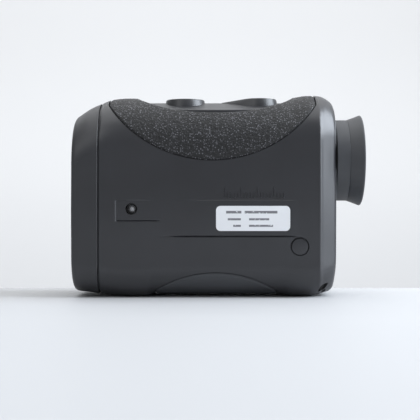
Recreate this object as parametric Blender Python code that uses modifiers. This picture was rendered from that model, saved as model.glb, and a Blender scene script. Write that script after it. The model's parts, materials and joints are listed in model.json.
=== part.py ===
"""Hand-held laser rangefinder: a monocular with a clamshell case, a front bezel with a viewing
objective above a receiver lens, a rubber top grip around a two-button panel, and a diopter eyepiece.

Metres, +Z up. The origin is the middle of the box's footprint. The optical axis runs along X, with
the objective at -X and the eyepiece at +X. The left side, with the label, faces -Y.
"""

import math

import bmesh
import bpy
from mathutils import Matrix, Vector

MM = 0.001

# ---------------------------------------------------------------- driving dimensions
GAP = 0.3 * MM              # between pieces that touch
HALF_GAP = GAP / 2

# Case envelope. Both feet are the stretches where the underside is at height 0.
CASE_HALF_WIDTH = 21.0 * MM
TOP_HEIGHT = 76.3 * MM      # the hump over the rear foot
CASE_FRONT = -44.2 * MM
CASE_REAR = 44.4 * MM
REAR_CHAMFER = 7.4 * MM     # run of the chamfer along X
REAR_NARROWING = 6.0 * MM   # what the chamfer takes off each half width
PAD_LIFT = 0.8 * MM         # the bottom pad stands this far above the feet
FOOT_RISE = 2.5 * MM        # run from a foot up to the pad
FRONT_FOOT_SETBACK = 10.2 * MM
FRONT_FOOT_LENGTH = 7.0 * MM
REAR_FOOT_SETBACK = 10.4 * MM
REAR_FOOT_LENGTH = 6.0 * MM
SIDE_BULGE = 0.6 * MM
BOTTOM_CORNER = 11.0 * MM
CROWN_FLAT = 1.0 * MM       # half width of the flat along the very top
WALL = 2.6 * MM
ROOF = 5.6 * MM             # the case is thicker over the hollow, under the button panel
REAR_WALL = 2.7 * MM

# Front bezel
BEZEL_LENGTH = 9.7 * MM
BEZEL_JOINT = 0.6 * MM      # seal groove between bezel and case
BEZEL_WALL = 2.4 * MM
SEAL_THICKNESS = 0.3 * MM
SEAL_SETBACK = 0.7 * MM

# Rubber grips: circles in side view that bound each grip
GRIP_THICKNESS = 1.0 * MM
TOP_GRIP_RADIUS = 46.3 * MM
TOP_GRIP_DEPTH = 25.4 * MM  # from the top height down to the lowest point of the border
TOP_GRIP_MIDDLE = -2.5 * MM
TOP_GRIP_END_GAPS = (3.0 * MM, 8.2 * MM)    # from the case's front and rear planes
BOTTOM_GRIP_RADIUS = 40.0 * MM
BOTTOM_GRIP_HEIGHT = 9.0 * MM
BOTTOM_GRIP_MIDDLE = -1.2 * MM

# Button panel
PANEL_MIDDLE = -1.3 * MM
PANEL_HALF_LENGTH = 29.5 * MM
PANEL_HALF_WIDTH = 14.2 * MM
PANEL_DROP = 2.7 * MM       # from the top height down to the panel's crown
PANEL_CROWN_RADIUS = 28.0 * MM
PANEL_THICKNESS = 1.6 * MM
PANEL_LEDGE = 3.6 * MM
POWER_X = -12.8 * MM
POWER_BUTTON_RADIUS = 4.5 * MM
POWER_COLLAR_WIDTH = 3.25 * MM
POWER_COLLAR_HEIGHT = 0.9 * MM
POWER_BUTTON_HEIGHT = 1.7 * MM
MODE_X = 15.5 * MM
MODE_BUTTON_RADIUS = 5.2 * MM
MODE_COLLAR_WIDTH = 1.7 * MM
MODE_COLLAR_HEIGHT = 1.3 * MM
MODE_BUTTON_HEIGHT = 1.9 * MM
MODE_RAMP_LENGTH = 14.5 * MM
BUTTON_FLANGE = 1.1 * MM
BUTTON_FLANGE_THICKNESS = 0.8 * MM
BUTTON_DEPTH = 3.3 * MM     # from the panel's crown down to the foot of each button
BUTTON_CROWN = 0.4 * MM
BUTTON_TRAVEL = 0.6 * MM
SWITCH_SIDE = 4.5 * MM
SWITCH_HEIGHT = 1.8 * MM
PLUNGER_RADIUS = 1.0 * MM
PLUNGER_LENGTH = 1.6 * MM
BOARD_THICKNESS = 1.2 * MM
BUTTON_BOARD_HALF_WIDTH = 7.0 * MM
BUTTON_BOARD_MARGINS = (6.0 * MM, 3.4 * MM)     # past the power and mode buttons

# Viewing channel
VIEW_AXIS_DROP = 24.8 * MM  # from the top height
OBJECTIVE_OUTER = 12.6 * MM
OBJECTIVE_WALL = 1.6 * MM
OBJECTIVE_STOP = 1.4 * MM   # step behind the lens
BARREL_RECESS = 1.5 * MM    # the front barrels end this far inside the bezel's face
OBJECTIVE_LENGTH = 29.0 * MM
PRISM_GAP = 0.4 * MM
PRISM_BOX_LENGTH = 37.6 * MM
PRISM_BOX_HALF_WIDTH = 11.4 * MM
PRISM_BOX_HALF_HEIGHT = 12.0 * MM
PRISM_BOX_WALL = 1.6 * MM
DISPLAY_GAP = 2.6 * MM
DISPLAY_THICKNESS = 1.6 * MM
DISPLAY_HALF_SIDE = 8.0 * MM
EYE_TUBE_OUTER = 12.4 * MM
EYE_TUBE_WALL = 1.4 * MM
EYE_TUBE_INSIDE = 18.4 * MM     # length of the tube in front of the case's rear plane
EYE_TUBE_OUTSIDE = 6.0 * MM
EYE_FLANGE_WIDTH = 1.0 * MM
EYE_FLANGE_LENGTH = 2.5 * MM
OCULAR_INSIDE = 12.4 * MM
OCULAR_OUTSIDE = 5.4 * MM
OCULAR_WALL = 1.4 * MM
DIOPTER_WALL = 1.2 * MM
DIOPTER_LENGTH = 6.0 * MM
DIOPTER_GAP = 0.4 * MM      # between the case's rear plane and the ring
DIOPTER_TRAVEL = 1.2 * MM   # ocular slide to either side
DIOPTER_ANGLE = math.radians(60)
EYECUP_WALL = 1.3 * MM
EYECUP_FLARE = 1.8 * MM     # how much wider the rim is than the neck
EYECUP_OUTSIDE = 10.1 * MM
EYECUP_NECK = 4.4 * MM
FOCUS_PIN_OUTSIDE = 3.0 * MM
FOCUS_PIN_RADIUS = 0.7 * MM

# Receiver channel
RECEIVER_AXIS_Z = 20.5 * MM
RECEIVER_OUTER = 11.3 * MM
RECEIVER_WALL = 1.4 * MM
RECEIVER_STOP = 1.1 * MM
RECEIVER_TAIL_RADIUS = 6.5 * MM
RECEIVER_STRAIGHT = 8.0 * MM
RECEIVER_LENGTH = 29.0 * MM
LENS_RECESS = 2.6 * MM      # from the barrels' front to both lenses' front vertex
RETAINER_LENGTH = 1.7 * MM
DETECTOR_RADIUS = 2.7 * MM
DETECTOR_LENGTH = 3.4 * MM
DETECTOR_BOARD_HALF_SIDE = 8.0 * MM
LASER_SETBACK = 8.0 * MM    # from the rear of the prism box
LASER_RADIUS = 2.8 * MM
LASER_LENGTH = 3.6 * MM
LASER_BOARD_HALF_SIDE = 6.0 * MM

# Battery bay
BATTERY_AXIS_Z = 19.5 * MM
BATTERY_RADIUS = 7.8 * MM
BATTERY_LENGTH = 27.0 * MM
BATTERY_TIP = 1.0 * MM
BATTERY_SETBACK = 3.0 * MM  # from the case's rear plane to the battery's tip
HOLDER_WALL = 1.2 * MM
SPRING_ROOM = 3.6 * MM
DOOR_MARGIN = 1.4 * MM      # how much wider the door is than the battery, to each side
DOOR_THICKNESS = 2.1 * MM
DOOR_SINK = 0.1 * MM
HINGE_SINK = 1.4 * MM       # from the case's rear plane in to the hinge's axis
HINGE_DROP = 9.1 * MM       # from the battery's axis down to the hinge's axis
HINGE_KNUCKLE = 1.3 * MM
HINGE_PIN_RADIUS = 0.6 * MM
HINGE_ROOM = 1.8 * MM       # free height under the hinge's axis

# Fasteners along Y
SCREW_SHANK = 0.9 * MM
SCREW_HEAD = 1.5 * MM
SCREW_HEAD_HEIGHT = 1.3 * MM
COUNTERBORE = 2.1 * MM
BOSS_RADIUS = 2.7 * MM
SHALLOW_SEAT = 5.3 * MM     # depth of a screw's seat below the case's side
DEEP_SEAT = 7.8 * MM        # under a grip
UPPER_SEAT = 4.42 * MM      # under the top grip, where the side curves in
PLUG_RADIUS = 3.25 * MM
PLUG_THICKNESS = 1.2 * MM
LUG_LENGTH = 3.7 * MM       # the battery holder's screw lug

# Label, cord slot, boards
LABEL_X = (-1.1 * MM, 26.1 * MM)
LABEL_Z = (24.7 * MM, 33.9 * MM)
LABEL_CORNER = 1.2 * MM
LABEL_PROUD = 0.1 * MM
CORD_LOOP_RADIUS = 2.6 * MM
CORD_BORE = 0.85 * MM
MAIN_BOARD_CLEARANCE = 1.83 * MM    # from the wall down to the board's inner face, at its top edge
RIBBON_CLEARANCE = 0.73 * MM        # from the wall to the bend of the button board's ribbon
MAIN_BOARD_X = (-22.0 * MM, 24.0 * MM)
MAIN_BOARD_LOW = 16.0 * MM
MAIN_BOARD_TOP_GAP = 16.3 * MM

# ---------------------------------------------------------------- derived
def round_half_width(z, top, narrowing=0.0):
    """Half width, at height z, of the round upper part of the section with this top."""
    radius = CASE_HALF_WIDTH - SIDE_BULGE - CROWN_FLAT - narrowing
    rise = max(0.0, z - (top - radius))
    return CROWN_FLAT + math.sqrt(radius ** 2 - rise ** 2)


BEYOND = 5.0 * MM           # how far a cutter reaches past what it cuts
RECESS = GRIP_THICKNESS + GAP
BEZEL_REAR = CASE_FRONT - BEZEL_JOINT
BEZEL_FRONT = BEZEL_REAR - BEZEL_LENGTH
REAR_CHAMFER_START = CASE_REAR - REAR_CHAMFER
FOOT_FRONT = (CASE_FRONT + FRONT_FOOT_SETBACK, CASE_FRONT + FRONT_FOOT_SETBACK + FRONT_FOOT_LENGTH)
FOOT_REAR = (CASE_REAR - REAR_FOOT_SETBACK - REAR_FOOT_LENGTH, CASE_REAR - REAR_FOOT_SETBACK)
PANEL_CROWN = TOP_HEIGHT - PANEL_DROP
POWER_COLLAR_RADIUS = POWER_BUTTON_RADIUS + POWER_COLLAR_WIDTH
MODE_COLLAR_RADIUS = MODE_BUTTON_RADIUS + MODE_COLLAR_WIDTH
BUTTON_BASE = PANEL_CROWN - BUTTON_DEPTH
SWITCH_BASE = BUTTON_BASE - GAP - PLUNGER_LENGTH - BUTTON_TRAVEL - HALF_GAP / 2
BUTTON_BOARD_TOP = SWITCH_BASE - GAP
VIEW_AXIS_Z = TOP_HEIGHT - VIEW_AXIS_DROP
BARREL_FRONT = BEZEL_FRONT + BARREL_RECESS
LENS_FRONT = BARREL_FRONT + LENS_RECESS
OBJECTIVE_REAR = BARREL_FRONT + OBJECTIVE_LENGTH
RECEIVER_REAR = BARREL_FRONT + RECEIVER_LENGTH
RECEIVER_STRAIGHT_END = BARREL_FRONT + RECEIVER_STRAIGHT
PRISM_BOX_FRONT = OBJECTIVE_REAR + PRISM_GAP
PRISM_BOX_REAR = PRISM_BOX_FRONT + PRISM_BOX_LENGTH
EYE_TUBE_FRONT = CASE_REAR - EYE_TUBE_INSIDE
EYE_TUBE_REAR = CASE_REAR + EYE_TUBE_OUTSIDE
OCULAR_FRONT = CASE_REAR - OCULAR_INSIDE
OCULAR_REAR = CASE_REAR + OCULAR_OUTSIDE
OCULAR_OUTER = EYE_TUBE_OUTER - EYE_TUBE_WALL - GAP
DIOPTER_INNER = EYE_TUBE_OUTER + GAP
DIOPTER_OUTER = DIOPTER_INNER + DIOPTER_WALL
DIOPTER_FRONT = CASE_REAR + DIOPTER_GAP
DIOPTER_REAR = DIOPTER_FRONT + DIOPTER_LENGTH
EYECUP_INNER = DIOPTER_OUTER + GAP
EYECUP_NECK_RADIUS = EYECUP_INNER + EYECUP_WALL
EYECUP_RIM_RADIUS = EYECUP_NECK_RADIUS + EYECUP_FLARE
EYECUP_REAR = CASE_REAR + EYECUP_OUTSIDE
FOCUS_PIN_X = CASE_REAR + FOCUS_PIN_OUTSIDE
HOLDER_INNER = BATTERY_RADIUS + GAP
HOLDER_OUTER = HOLDER_INNER + HOLDER_WALL
BATTERY_REAR = CASE_REAR - BATTERY_SETBACK
BATTERY_FRONT = BATTERY_REAR - BATTERY_LENGTH
HOLDER_FRONT = BATTERY_FRONT - SPRING_ROOM - HOLDER_WALL
DOOR_HALF_WIDTH = BATTERY_RADIUS + DOOR_MARGIN
DOOR_TOP = BATTERY_AXIS_Z + DOOR_HALF_WIDTH + GAP
HINGE_X = CASE_REAR - HINGE_SINK
HINGE_Z = BATTERY_AXIS_Z - HINGE_DROP
LOW_TOP = TOP_HEIGHT - 1.4 * MM     # the top between the two feet, at its lowest
MAIN_BOARD_Z = (MAIN_BOARD_LOW, TOP_HEIGHT - MAIN_BOARD_TOP_GAP)
MAIN_BOARD_Y = round_half_width(MAIN_BOARD_Z[1], LOW_TOP - ROOF, WALL) - MAIN_BOARD_CLEARANCE
SHALLOW_SEAT_Y = SHALLOW_SEAT - CASE_HALF_WIDTH
DEEP_SEAT_Y = DEEP_SEAT - CASE_HALF_WIDTH
# Each side screw: x, z and the y its head seats at
FRONT_SCREW = (CASE_FRONT + 12.0 * MM, (VIEW_AXIS_Z + RECEIVER_AXIS_Z) / 2 - 3.2 * MM, SHALLOW_SEAT_Y)
UPPER_SCREW_Z = VIEW_AXIS_Z + 12.5 * MM
UPPER_SCREW = (EYE_TUBE_FRONT - 4.0 * MM, UPPER_SCREW_Z,
               UPPER_SEAT - round_half_width(UPPER_SCREW_Z + SCREW_HEAD, LOW_TOP))
LOWER_SCREW = (-2.9 * MM, 6.3 * MM, DEEP_SEAT_Y)
REAR_SCREW = (CASE_REAR - 14.7 * MM, 18.9 * MM, SHALLOW_SEAT_Y)
CORD_POINT = (CASE_REAR - 4.8 * MM, 4.0 * MM - CASE_HALF_WIDTH, 4.6 * MM)
CASE_STATIONS = (           # x, half width, top, bottom
    (CASE_FRONT, CASE_HALF_WIDTH, TOP_HEIGHT - 3.0 * MM, 1.0 * MM),
    (CASE_FRONT + 2.7 * MM, CASE_HALF_WIDTH, TOP_HEIGHT - 1.9 * MM, 0.7 * MM),
    (CASE_FRONT + 6.2 * MM, CASE_HALF_WIDTH, TOP_HEIGHT - 1.2 * MM, 0.3 * MM),
    (FOOT_FRONT[0], CASE_HALF_WIDTH, TOP_HEIGHT - 1.0 * MM, 0.0),
    (FOOT_FRONT[1], CASE_HALF_WIDTH, TOP_HEIGHT - 1.1 * MM, 0.0),
    (FOOT_FRONT[1] + FOOT_RISE, CASE_HALF_WIDTH, TOP_HEIGHT - 1.2 * MM, PAD_LIFT),
    (0.0, CASE_HALF_WIDTH, LOW_TOP, PAD_LIFT),
    (FOOT_REAR[0] - 1.7 * FOOT_RISE, CASE_HALF_WIDTH, TOP_HEIGHT - 1.1 * MM, PAD_LIFT),
    (FOOT_REAR[0], CASE_HALF_WIDTH, TOP_HEIGHT - 0.8 * MM, 0.0),
    (FOOT_REAR[1], CASE_HALF_WIDTH, TOP_HEIGHT, 0.0),
    (REAR_CHAMFER_START, CASE_HALF_WIDTH, TOP_HEIGHT - 0.1 * MM, 0.7 * MM),
)
REAR_STATIONS = (           # share of the chamfer's run, top drop, bottom
    (0.22, 0.3 * MM, 1.0 * MM),
    (0.69, 1.9 * MM, 1.7 * MM),
    (0.89, 3.0 * MM, 2.9 * MM),
    (1.0, 4.5 * MM, 5.6 * MM),
)
BEZEL_STATIONS = (          # run from the front face, width and top drops, bottom
    (0.0, 1.5 * MM, 9.6 * MM, 4.0 * MM),
    (0.6 * MM, 0.9 * MM, 8.6 * MM, 2.7 * MM),
    (1.9 * MM, 0.5 * MM, 7.6 * MM, 2.0 * MM),
    (5.8 * MM, 0.2 * MM, 5.0 * MM, 1.6 * MM),
    (BEZEL_LENGTH, 0.0, 3.2 * MM, 1.05 * MM),
)

# ---------------------------------------------------------------- scene helpers
PARTS = None
CUTTERS = None
MATERIALS = {}
PALETTE = {                 # colour, roughness, metallic
    "satin_polymer": ((0.040, 0.040, 0.046), 0.42, 0.0),
    "bezel_polymer": ((0.036, 0.037, 0.042), 0.38, 0.0),
    "grip_rubber": ((0.028, 0.028, 0.032), 0.85, 0.0),
    "smooth_rubber": ((0.045, 0.046, 0.053), 0.65, 0.0),
    "button_rubber": ((0.055, 0.055, 0.060), 0.55, 0.0),
    "label_film": ((0.85, 0.86, 0.88), 0.35, 0.0),
    "steel": ((0.60, 0.60, 0.61), 0.28, 1.0),
    "black_aluminium": ((0.03, 0.03, 0.032), 0.35, 1.0),
    "coated_glass": ((0.62, 0.70, 0.78), 0.04, 0.0),
    "circuit_board": ((0.02, 0.16, 0.07), 0.45, 0.0),
    "black_epoxy": ((0.02, 0.02, 0.02), 0.40, 0.0),
    "copper": ((0.75, 0.40, 0.22), 0.35, 1.0),
    "gold_plate": ((0.83, 0.62, 0.28), 0.25, 1.0),
    "polyimide": ((0.55, 0.27, 0.04), 0.40, 0.0),
    "battery_sleeve": ((0.06, 0.09, 0.22), 0.35, 0.0),
    "nylon": ((0.09, 0.09, 0.10), 0.55, 0.0),
}


def clear_scene():
    for obj in list(bpy.data.objects):
        bpy.data.objects.remove(obj, do_unlink=True)


def make_collections():
    global PARTS, CUTTERS
    PARTS = bpy.data.collections.new("laser_rangefinder")
    CUTTERS = bpy.data.collections.new("cutters")
    for collection in (PARTS, CUTTERS):
        bpy.context.scene.collection.children.link(collection)


def material(name):
    if name not in MATERIALS:
        colour, roughness, metallic = PALETTE[name]
        made = bpy.data.materials.new(name)
        made.use_nodes = True
        shader = made.node_tree.nodes["Principled BSDF"]
        shader.inputs["Base Color"].default_value = (*colour, 1.0)
        shader.inputs["Roughness"].default_value = roughness
        shader.inputs["Metallic"].default_value = metallic
        MATERIALS[name] = made
    return MATERIALS[name]


def add_object(name, mesh, look, smooth=True):
    """Link a mesh as a part with a look, or as a hidden cutter when look is None."""
    obj = bpy.data.objects.new(name, mesh)
    if look is None:
        CUTTERS.objects.link(obj)
        obj.hide_render = True
        obj.display_type = "WIRE"
        return obj
    PARTS.objects.link(obj)
    mesh.materials.append(material(look))
    if smooth:
        mesh.shade_smooth()
        mesh.set_sharp_from_angle(angle=math.radians(35))
    return obj


def from_bmesh(name, bm, look):
    bmesh.ops.recalc_face_normals(bm, faces=bm.faces)
    if bm.calc_volume(signed=True) < 0:
        bmesh.ops.reverse_faces(bm, faces=bm.faces)
    mesh = bpy.data.meshes.new(name)
    bm.to_mesh(mesh)
    bm.free()
    return add_object(name, mesh, look)


def boolean(obj, other, operation="DIFFERENCE"):
    modifier = obj.modifiers.new(f"{operation.lower()} {other.name}", "BOOLEAN")
    modifier.operation = operation
    modifier.object = other
    modifier.solver = "EXACT"
    return obj


def box(name, low, high, look=None):
    bm = bmesh.new()
    size = Vector(high) - Vector(low)
    middle = (Vector(high) + Vector(low)) / 2
    bmesh.ops.create_cube(bm, size=1.0, matrix=Matrix.Translation(middle) @ Matrix.Diagonal((*size, 1.0)))
    return from_bmesh(name, bm, look)


AXIS_TURN = {
    "X": Matrix.Rotation(math.radians(90), 4, "Y"),
    "Y": Matrix.Rotation(math.radians(-90), 4, "X"),
    "Z": Matrix.Identity(4),
}


def rod(name, axis, start, length, radius, look=None, end_radius=None, segments=24):
    """A cylinder or cone that starts at a point and runs along +axis."""
    bm = bmesh.new()
    place = Matrix.Translation(Vector(start)) @ AXIS_TURN[axis] @ Matrix.Translation((0, 0, length / 2))
    bmesh.ops.create_cone(
        bm, cap_ends=True, segments=segments, radius1=radius,
        radius2=radius if end_radius is None else end_radius, depth=length, matrix=place,
    )
    return from_bmesh(name, bm, look)


def turned(name, profile, look, axis_z=VIEW_AXIS_Z, segments=32):
    """Turn (x, radius) points about the line along X at height axis_z. On-axis ends close the shape."""
    area = sum(a[0] * b[1] - b[0] * a[1] for a, b in zip(profile, profile[1:] + profile[:1]))
    points = profile if area > 0 else profile[::-1]
    on_axis = [i for i, point in enumerate(points) if point[1] == 0.0]
    if on_axis:
        # Start at the axis point that follows its partner, so the open profile runs axis to axis.
        start = next(i for i in on_axis if points[i - 1][1] == 0.0)
        points = points[start:] + points[:start]
    count = len(points)
    edges = [(i, i + 1) for i in range(count - 1)]
    if not on_axis:
        edges.append((count - 1, 0))
    mesh = bpy.data.meshes.new(name)
    mesh.from_pydata([(radius, 0.0, x) for x, radius in points], edges, [])
    obj = add_object(name, mesh, look, smooth=False)
    screw = obj.modifiers.new("turn", "SCREW")
    screw.axis = "Z"
    screw.steps = segments
    screw.render_steps = segments
    screw.use_merge_vertices = True
    screw.merge_threshold = 0.00001
    screw.use_smooth_shade = True
    obj.matrix_world = Matrix.Translation((0, 0, axis_z)) @ AXIS_TURN["X"]
    return obj


def lens(name, front_x, thickness, radius, front_curve, rear_curve, axis_z, look="coated_glass"):
    """A turned lens. A positive curve bulges outwards, a negative one is hollow; values are sagittas."""
    steps = 3
    front = [(front_x - front_curve * (1 - (i / steps) ** 2) + max(front_curve, 0.0), radius * i / steps)
             for i in range(steps + 1)]
    rear_x = front_x + thickness
    rear = [(rear_x + rear_curve * (1 - (i / steps) ** 2) - max(rear_curve, 0.0), radius * i / steps)
            for i in range(steps, -1, -1)]
    return turned(name, front + rear, look, axis_z, segments=24)


def flat_outline(name, points, plane, low, high, look=None):
    """A flat 2D outline given in a plane ('XZ', 'XY' or 'YZ'), extruded from low to high across it."""
    curve = bpy.data.curves.new(name, "CURVE")
    curve.dimensions = "2D"
    curve.fill_mode = "BOTH"
    curve.extrude = (high - low) / 2
    spline = curve.splines.new("POLY")
    spline.points.add(len(points) - 1)
    for target, (u, v) in zip(spline.points, points):
        target.co = (u, v, 0.0, 1.0)
    spline.use_cyclic_u = True
    middle = (low + high) / 2
    turns = {
        "XY": Matrix.Translation((0, 0, middle)),
        "XZ": Matrix.Translation((0, middle, 0)) @ Matrix.Rotation(math.radians(90), 4, "X"),
        "YZ": Matrix.Translation((middle, 0, 0)) @ Matrix(((0, 0, 1, 0), (1, 0, 0, 0), (0, 1, 0, 0),
                                                           (0, 0, 0, 1))),
    }
    guide = bpy.data.objects.new(name + "_outline", curve)
    CUTTERS.objects.link(guide)
    bpy.context.view_layer.update()
    graph = bpy.context.evaluated_depsgraph_get()
    mesh = bpy.data.meshes.new_from_object(guide.evaluated_get(graph))
    bpy.data.objects.remove(guide)
    bm = bmesh.new()
    bm.from_mesh(mesh)
    bmesh.ops.remove_doubles(bm, verts=bm.verts, dist=1e-7)
    bm.transform(turns[plane])
    return from_bmesh(name, bm, look)


def arc(centre, radius, start, end, steps):
    """Points of an arc, angles in degrees."""
    angles = [math.radians(start + (end - start) * i / steps) for i in range(steps + 1)]
    return [(centre[0] + radius * math.cos(a), centre[1] + radius * math.sin(a)) for a in angles]


def rounded_rectangle(low, high, corner, steps=4):
    (u0, v0), (u1, v1) = low, high
    return (
        arc((u1 - corner, v1 - corner), corner, 0, 90, steps)
        + arc((u0 + corner, v1 - corner), corner, 90, 180, steps)
        + arc((u0 + corner, v0 + corner), corner, 180, 270, steps)
        + arc((u1 - corner, v0 + corner), corner, 270, 360, steps)
    )


# ---------------------------------------------------------------- case envelope
def case_stations():
    """Every (x, half width, top, bottom) of the case from its front plane to its rear plane."""
    rear = tuple(
        (REAR_CHAMFER_START + share * REAR_CHAMFER, CASE_HALF_WIDTH - share * REAR_NARROWING,
         TOP_HEIGHT - drop, bottom)
        for share, drop, bottom in REAR_STATIONS
    )
    return CASE_STATIONS + rear


def bezel_stations():
    return tuple(
        (BEZEL_FRONT + run, CASE_HALF_WIDTH - narrow, TOP_HEIGHT - drop, bottom)
        for run, narrow, drop, bottom in BEZEL_STATIONS
    )


def section(half_width, top, bottom, inset=0.0, corner=BOTTOM_CORNER):
    """(y, z) points of the case's section, counter-clockwise from the top right, moved in by inset."""
    width = half_width - SIDE_BULGE - inset
    top = top - inset
    bottom = bottom + inset
    top_radius = half_width - SIDE_BULGE - CROWN_FLAT - inset
    low_radius = max(corner - inset, 1.0 * MM)
    upper = arc((width - top_radius, top - top_radius), top_radius, 90, 0, 6)
    lower = arc((width - low_radius, bottom + low_radius), low_radius, 0, -90, 4)
    waist = (width + SIDE_BULGE, (upper[-1][1] + lower[0][1]) / 2)
    half = upper + [waist] + lower
    return half + [(-y, z) for y, z in reversed(half)]


def loft(name, rows, look=None):
    """A closed solid through rows of equal length: each row is (x, [(y, z), ...])."""
    bm = bmesh.new()
    rings = [[bm.verts.new((x, y, z)) for y, z in outline] for x, outline in rows]
    for first, second in zip(rings, rings[1:]):
        count = len(first)
        for i in range(count):
            bm.faces.new((first[i], first[(i + 1) % count], second[(i + 1) % count], second[i]))
    bm.faces.new(rings[0])
    bm.faces.new(rings[-1])
    return from_bmesh(name, bm, look)


def envelope(name, inset, look=None, stretch=0.0):
    """The case's outer form moved in by inset (out when negative), and longer at both ends by stretch."""
    stations = list(case_stations())
    rows = [(x, section(w, top, bottom, inset)) for x, w, top, bottom in stations]
    if stretch:
        rows = [(rows[0][0] - stretch, rows[0][1])] + rows + [(rows[-1][0] + stretch, rows[-1][1])]
    return loft(name, rows, look)


def hollow():
    """The room inside the case: open at the front, with a thick roof and a solid lower rear corner."""
    rear_x = CASE_REAR - REAR_WALL
    floor_lift = HINGE_Z - 2.4 * MM
    chamfer_wall = WALL + 0.8 * MM
    rows = []
    for x, w, top, bottom in CASE_STATIONS[1:-1]:
        rows.append((x, section(w - WALL, top - ROOF, bottom + WALL + 0.3 * MM, corner=BOTTOM_CORNER - WALL)))
    front = rows[0][1]
    share = (rear_x - REAR_CHAMFER_START) / REAR_CHAMFER
    end_width = CASE_HALF_WIDTH - share * REAR_NARROWING - chamfer_wall
    last = CASE_STATIONS[-1]
    rows.append((last[0] - 1.0 * MM, section(last[1] - WALL, last[2] - ROOF, floor_lift,
                                             corner=BOTTOM_CORNER - WALL)))
    rows.append((rear_x, section(end_width, TOP_HEIGHT - ROOF - 1.8 * MM, floor_lift, corner=6.0 * MM)))
    return loft("hollow_cutter", [(CASE_FRONT - BEYOND, front)] + rows)


def grip_zone(name, centre, radius, front, rear, far, grow=0.0):
    """Side-view region of a grip: a circle's arc between two upright ends, closed at height far."""
    sign = -1 if far > 0 else 1     # the top grip's border is its circle's lower side
    reach = radius + grow
    steps = 24
    left = max(front - grow, centre[0] - reach)
    right = min(rear + grow, centre[0] + reach)
    border = []
    for i in range(steps + 1):
        x = left + (right - left) * i / steps
        rise = math.sqrt(max(reach ** 2 - (x - centre[0]) ** 2, 0.0))
        border.append((x, centre[1] + sign * rise))
    points = border + [(right, far), (left, far)]
    wide = CASE_HALF_WIDTH + BEYOND
    return flat_outline(name, points, "XZ", -wide, wide)


def top_zone(name, grow=0.0):
    centre = (TOP_GRIP_MIDDLE, TOP_HEIGHT - TOP_GRIP_DEPTH + TOP_GRIP_RADIUS)
    front_gap, rear_gap = TOP_GRIP_END_GAPS
    return grip_zone(name, centre, TOP_GRIP_RADIUS, CASE_FRONT + front_gap, CASE_REAR - rear_gap,
                     TOP_HEIGHT + BEYOND, grow)


def bottom_zone(name, grow=0.0):
    centre = (BOTTOM_GRIP_MIDDLE, BOTTOM_GRIP_HEIGHT - BOTTOM_GRIP_RADIUS)
    return grip_zone(name, centre, BOTTOM_GRIP_RADIUS, FOOT_FRONT[1] + FOOT_RISE + MM,
                     FOOT_REAR[0] - 2.6 * FOOT_RISE, -BEYOND, grow)


def panel_outline(inset=0.0, steps=36):
    """Plan of the button panel: a superellipse."""
    power = 2.5
    a = PANEL_HALF_LENGTH - inset
    b = PANEL_HALF_WIDTH - inset
    points = []
    for i in range(steps):
        angle = 2 * math.pi * i / steps
        c, s = math.cos(angle), math.sin(angle)
        points.append((PANEL_MIDDLE + a * math.copysign(abs(c) ** (2 / power), c),
                       b * math.copysign(abs(s) ** (2 / power), s)))
    return points


def crowned_slab(name, top, thickness, look=None):
    """A slab over the panel whose top and bottom follow the panel's crown."""
    wide = PANEL_HALF_WIDTH + BEYOND
    spread = math.degrees(math.asin(wide / PANEL_CROWN_RADIUS))
    upper = arc((0.0, top - PANEL_CROWN_RADIUS), PANEL_CROWN_RADIUS, 90 - spread, 90 + spread, 10)
    lower = [(y, z - thickness) for y, z in reversed(upper)]
    reach = PANEL_HALF_LENGTH + BEYOND
    return flat_outline(name, upper + lower, "YZ", PANEL_MIDDLE - reach, PANEL_MIDDLE + reach, look)


# ---------------------------------------------------------------- case pieces
def recess_cutter(name, zone):
    """What a grip's recess takes from the case: the zone outside the case's inset form."""
    return boolean(zone, envelope(name + "_floor", RECESS, stretch=2 * BEYOND))


def housing(name, side, cutters, unions):
    """One half of the case. side is -1 for the left half and 1 for the right half."""
    body = envelope(name, 0.0, "satin_polymer")
    boolean(body, cutters["hollow"])
    for boss in unions:
        boolean(body, boss, "UNION")
    far = CASE_HALF_WIDTH + BEYOND
    low_y, high_y = (-HALF_GAP, far) if side < 0 else (-far, HALF_GAP)
    boolean(body, box(name + "_split", (CASE_FRONT - BEYOND, low_y, -BEYOND),
                      (CASE_REAR + BEYOND, high_y, TOP_HEIGHT + BEYOND)))
    for key, cutter in cutters.items():
        if key != "hollow" and not key.startswith("only_"):
            boolean(body, cutter)
        if key.startswith("only_left") and side < 0:
            boolean(body, cutter)
    return body


def surface_y(z, inset=0.0):
    """Half width of the full-width case section at height z (right side, positive)."""
    outline = section(CASE_HALF_WIDTH, TOP_HEIGHT - 1.1 * MM, PAD_LIFT, inset)
    half = outline[: len(outline) // 2]
    for (y0, z0), (y1, z1) in zip(half, half[1:]):
        if z1 <= z <= z0:
            return y0 + (y1 - y0) * (z0 - z) / (z0 - z1)
    return half[-1][0]


def screw_station(name, place, through):
    """Boss and hole cutters of one side screw. A through screw ties both halves together."""
    x, z, seat = place
    wall_y = surface_y(z) - WALL / 2
    left_end = -HALF_GAP if through else -(HOLDER_OUTER + LUG_LENGTH + GAP)
    left_boss = rod(name + "_boss_left", "Y", (x, -wall_y, z), wall_y + left_end, BOSS_RADIUS)
    far = CASE_HALF_WIDTH + BEYOND
    counterbore = rod(name + "_counterbore", "Y", (x, -far, z), far + seat, COUNTERBORE)
    pilot = rod(name + "_pilot", "Y", (x, seat - MM, z), 9.5 * MM - seat if through else 8.0 * MM,
                SCREW_SHANK + GAP, segments=12)
    right_boss = rod(name + "_boss_right", "Y", (x, HALF_GAP, z), wall_y - HALF_GAP,
                     BOSS_RADIUS) if through else None
    return left_boss, right_boss, counterbore, pilot


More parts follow.
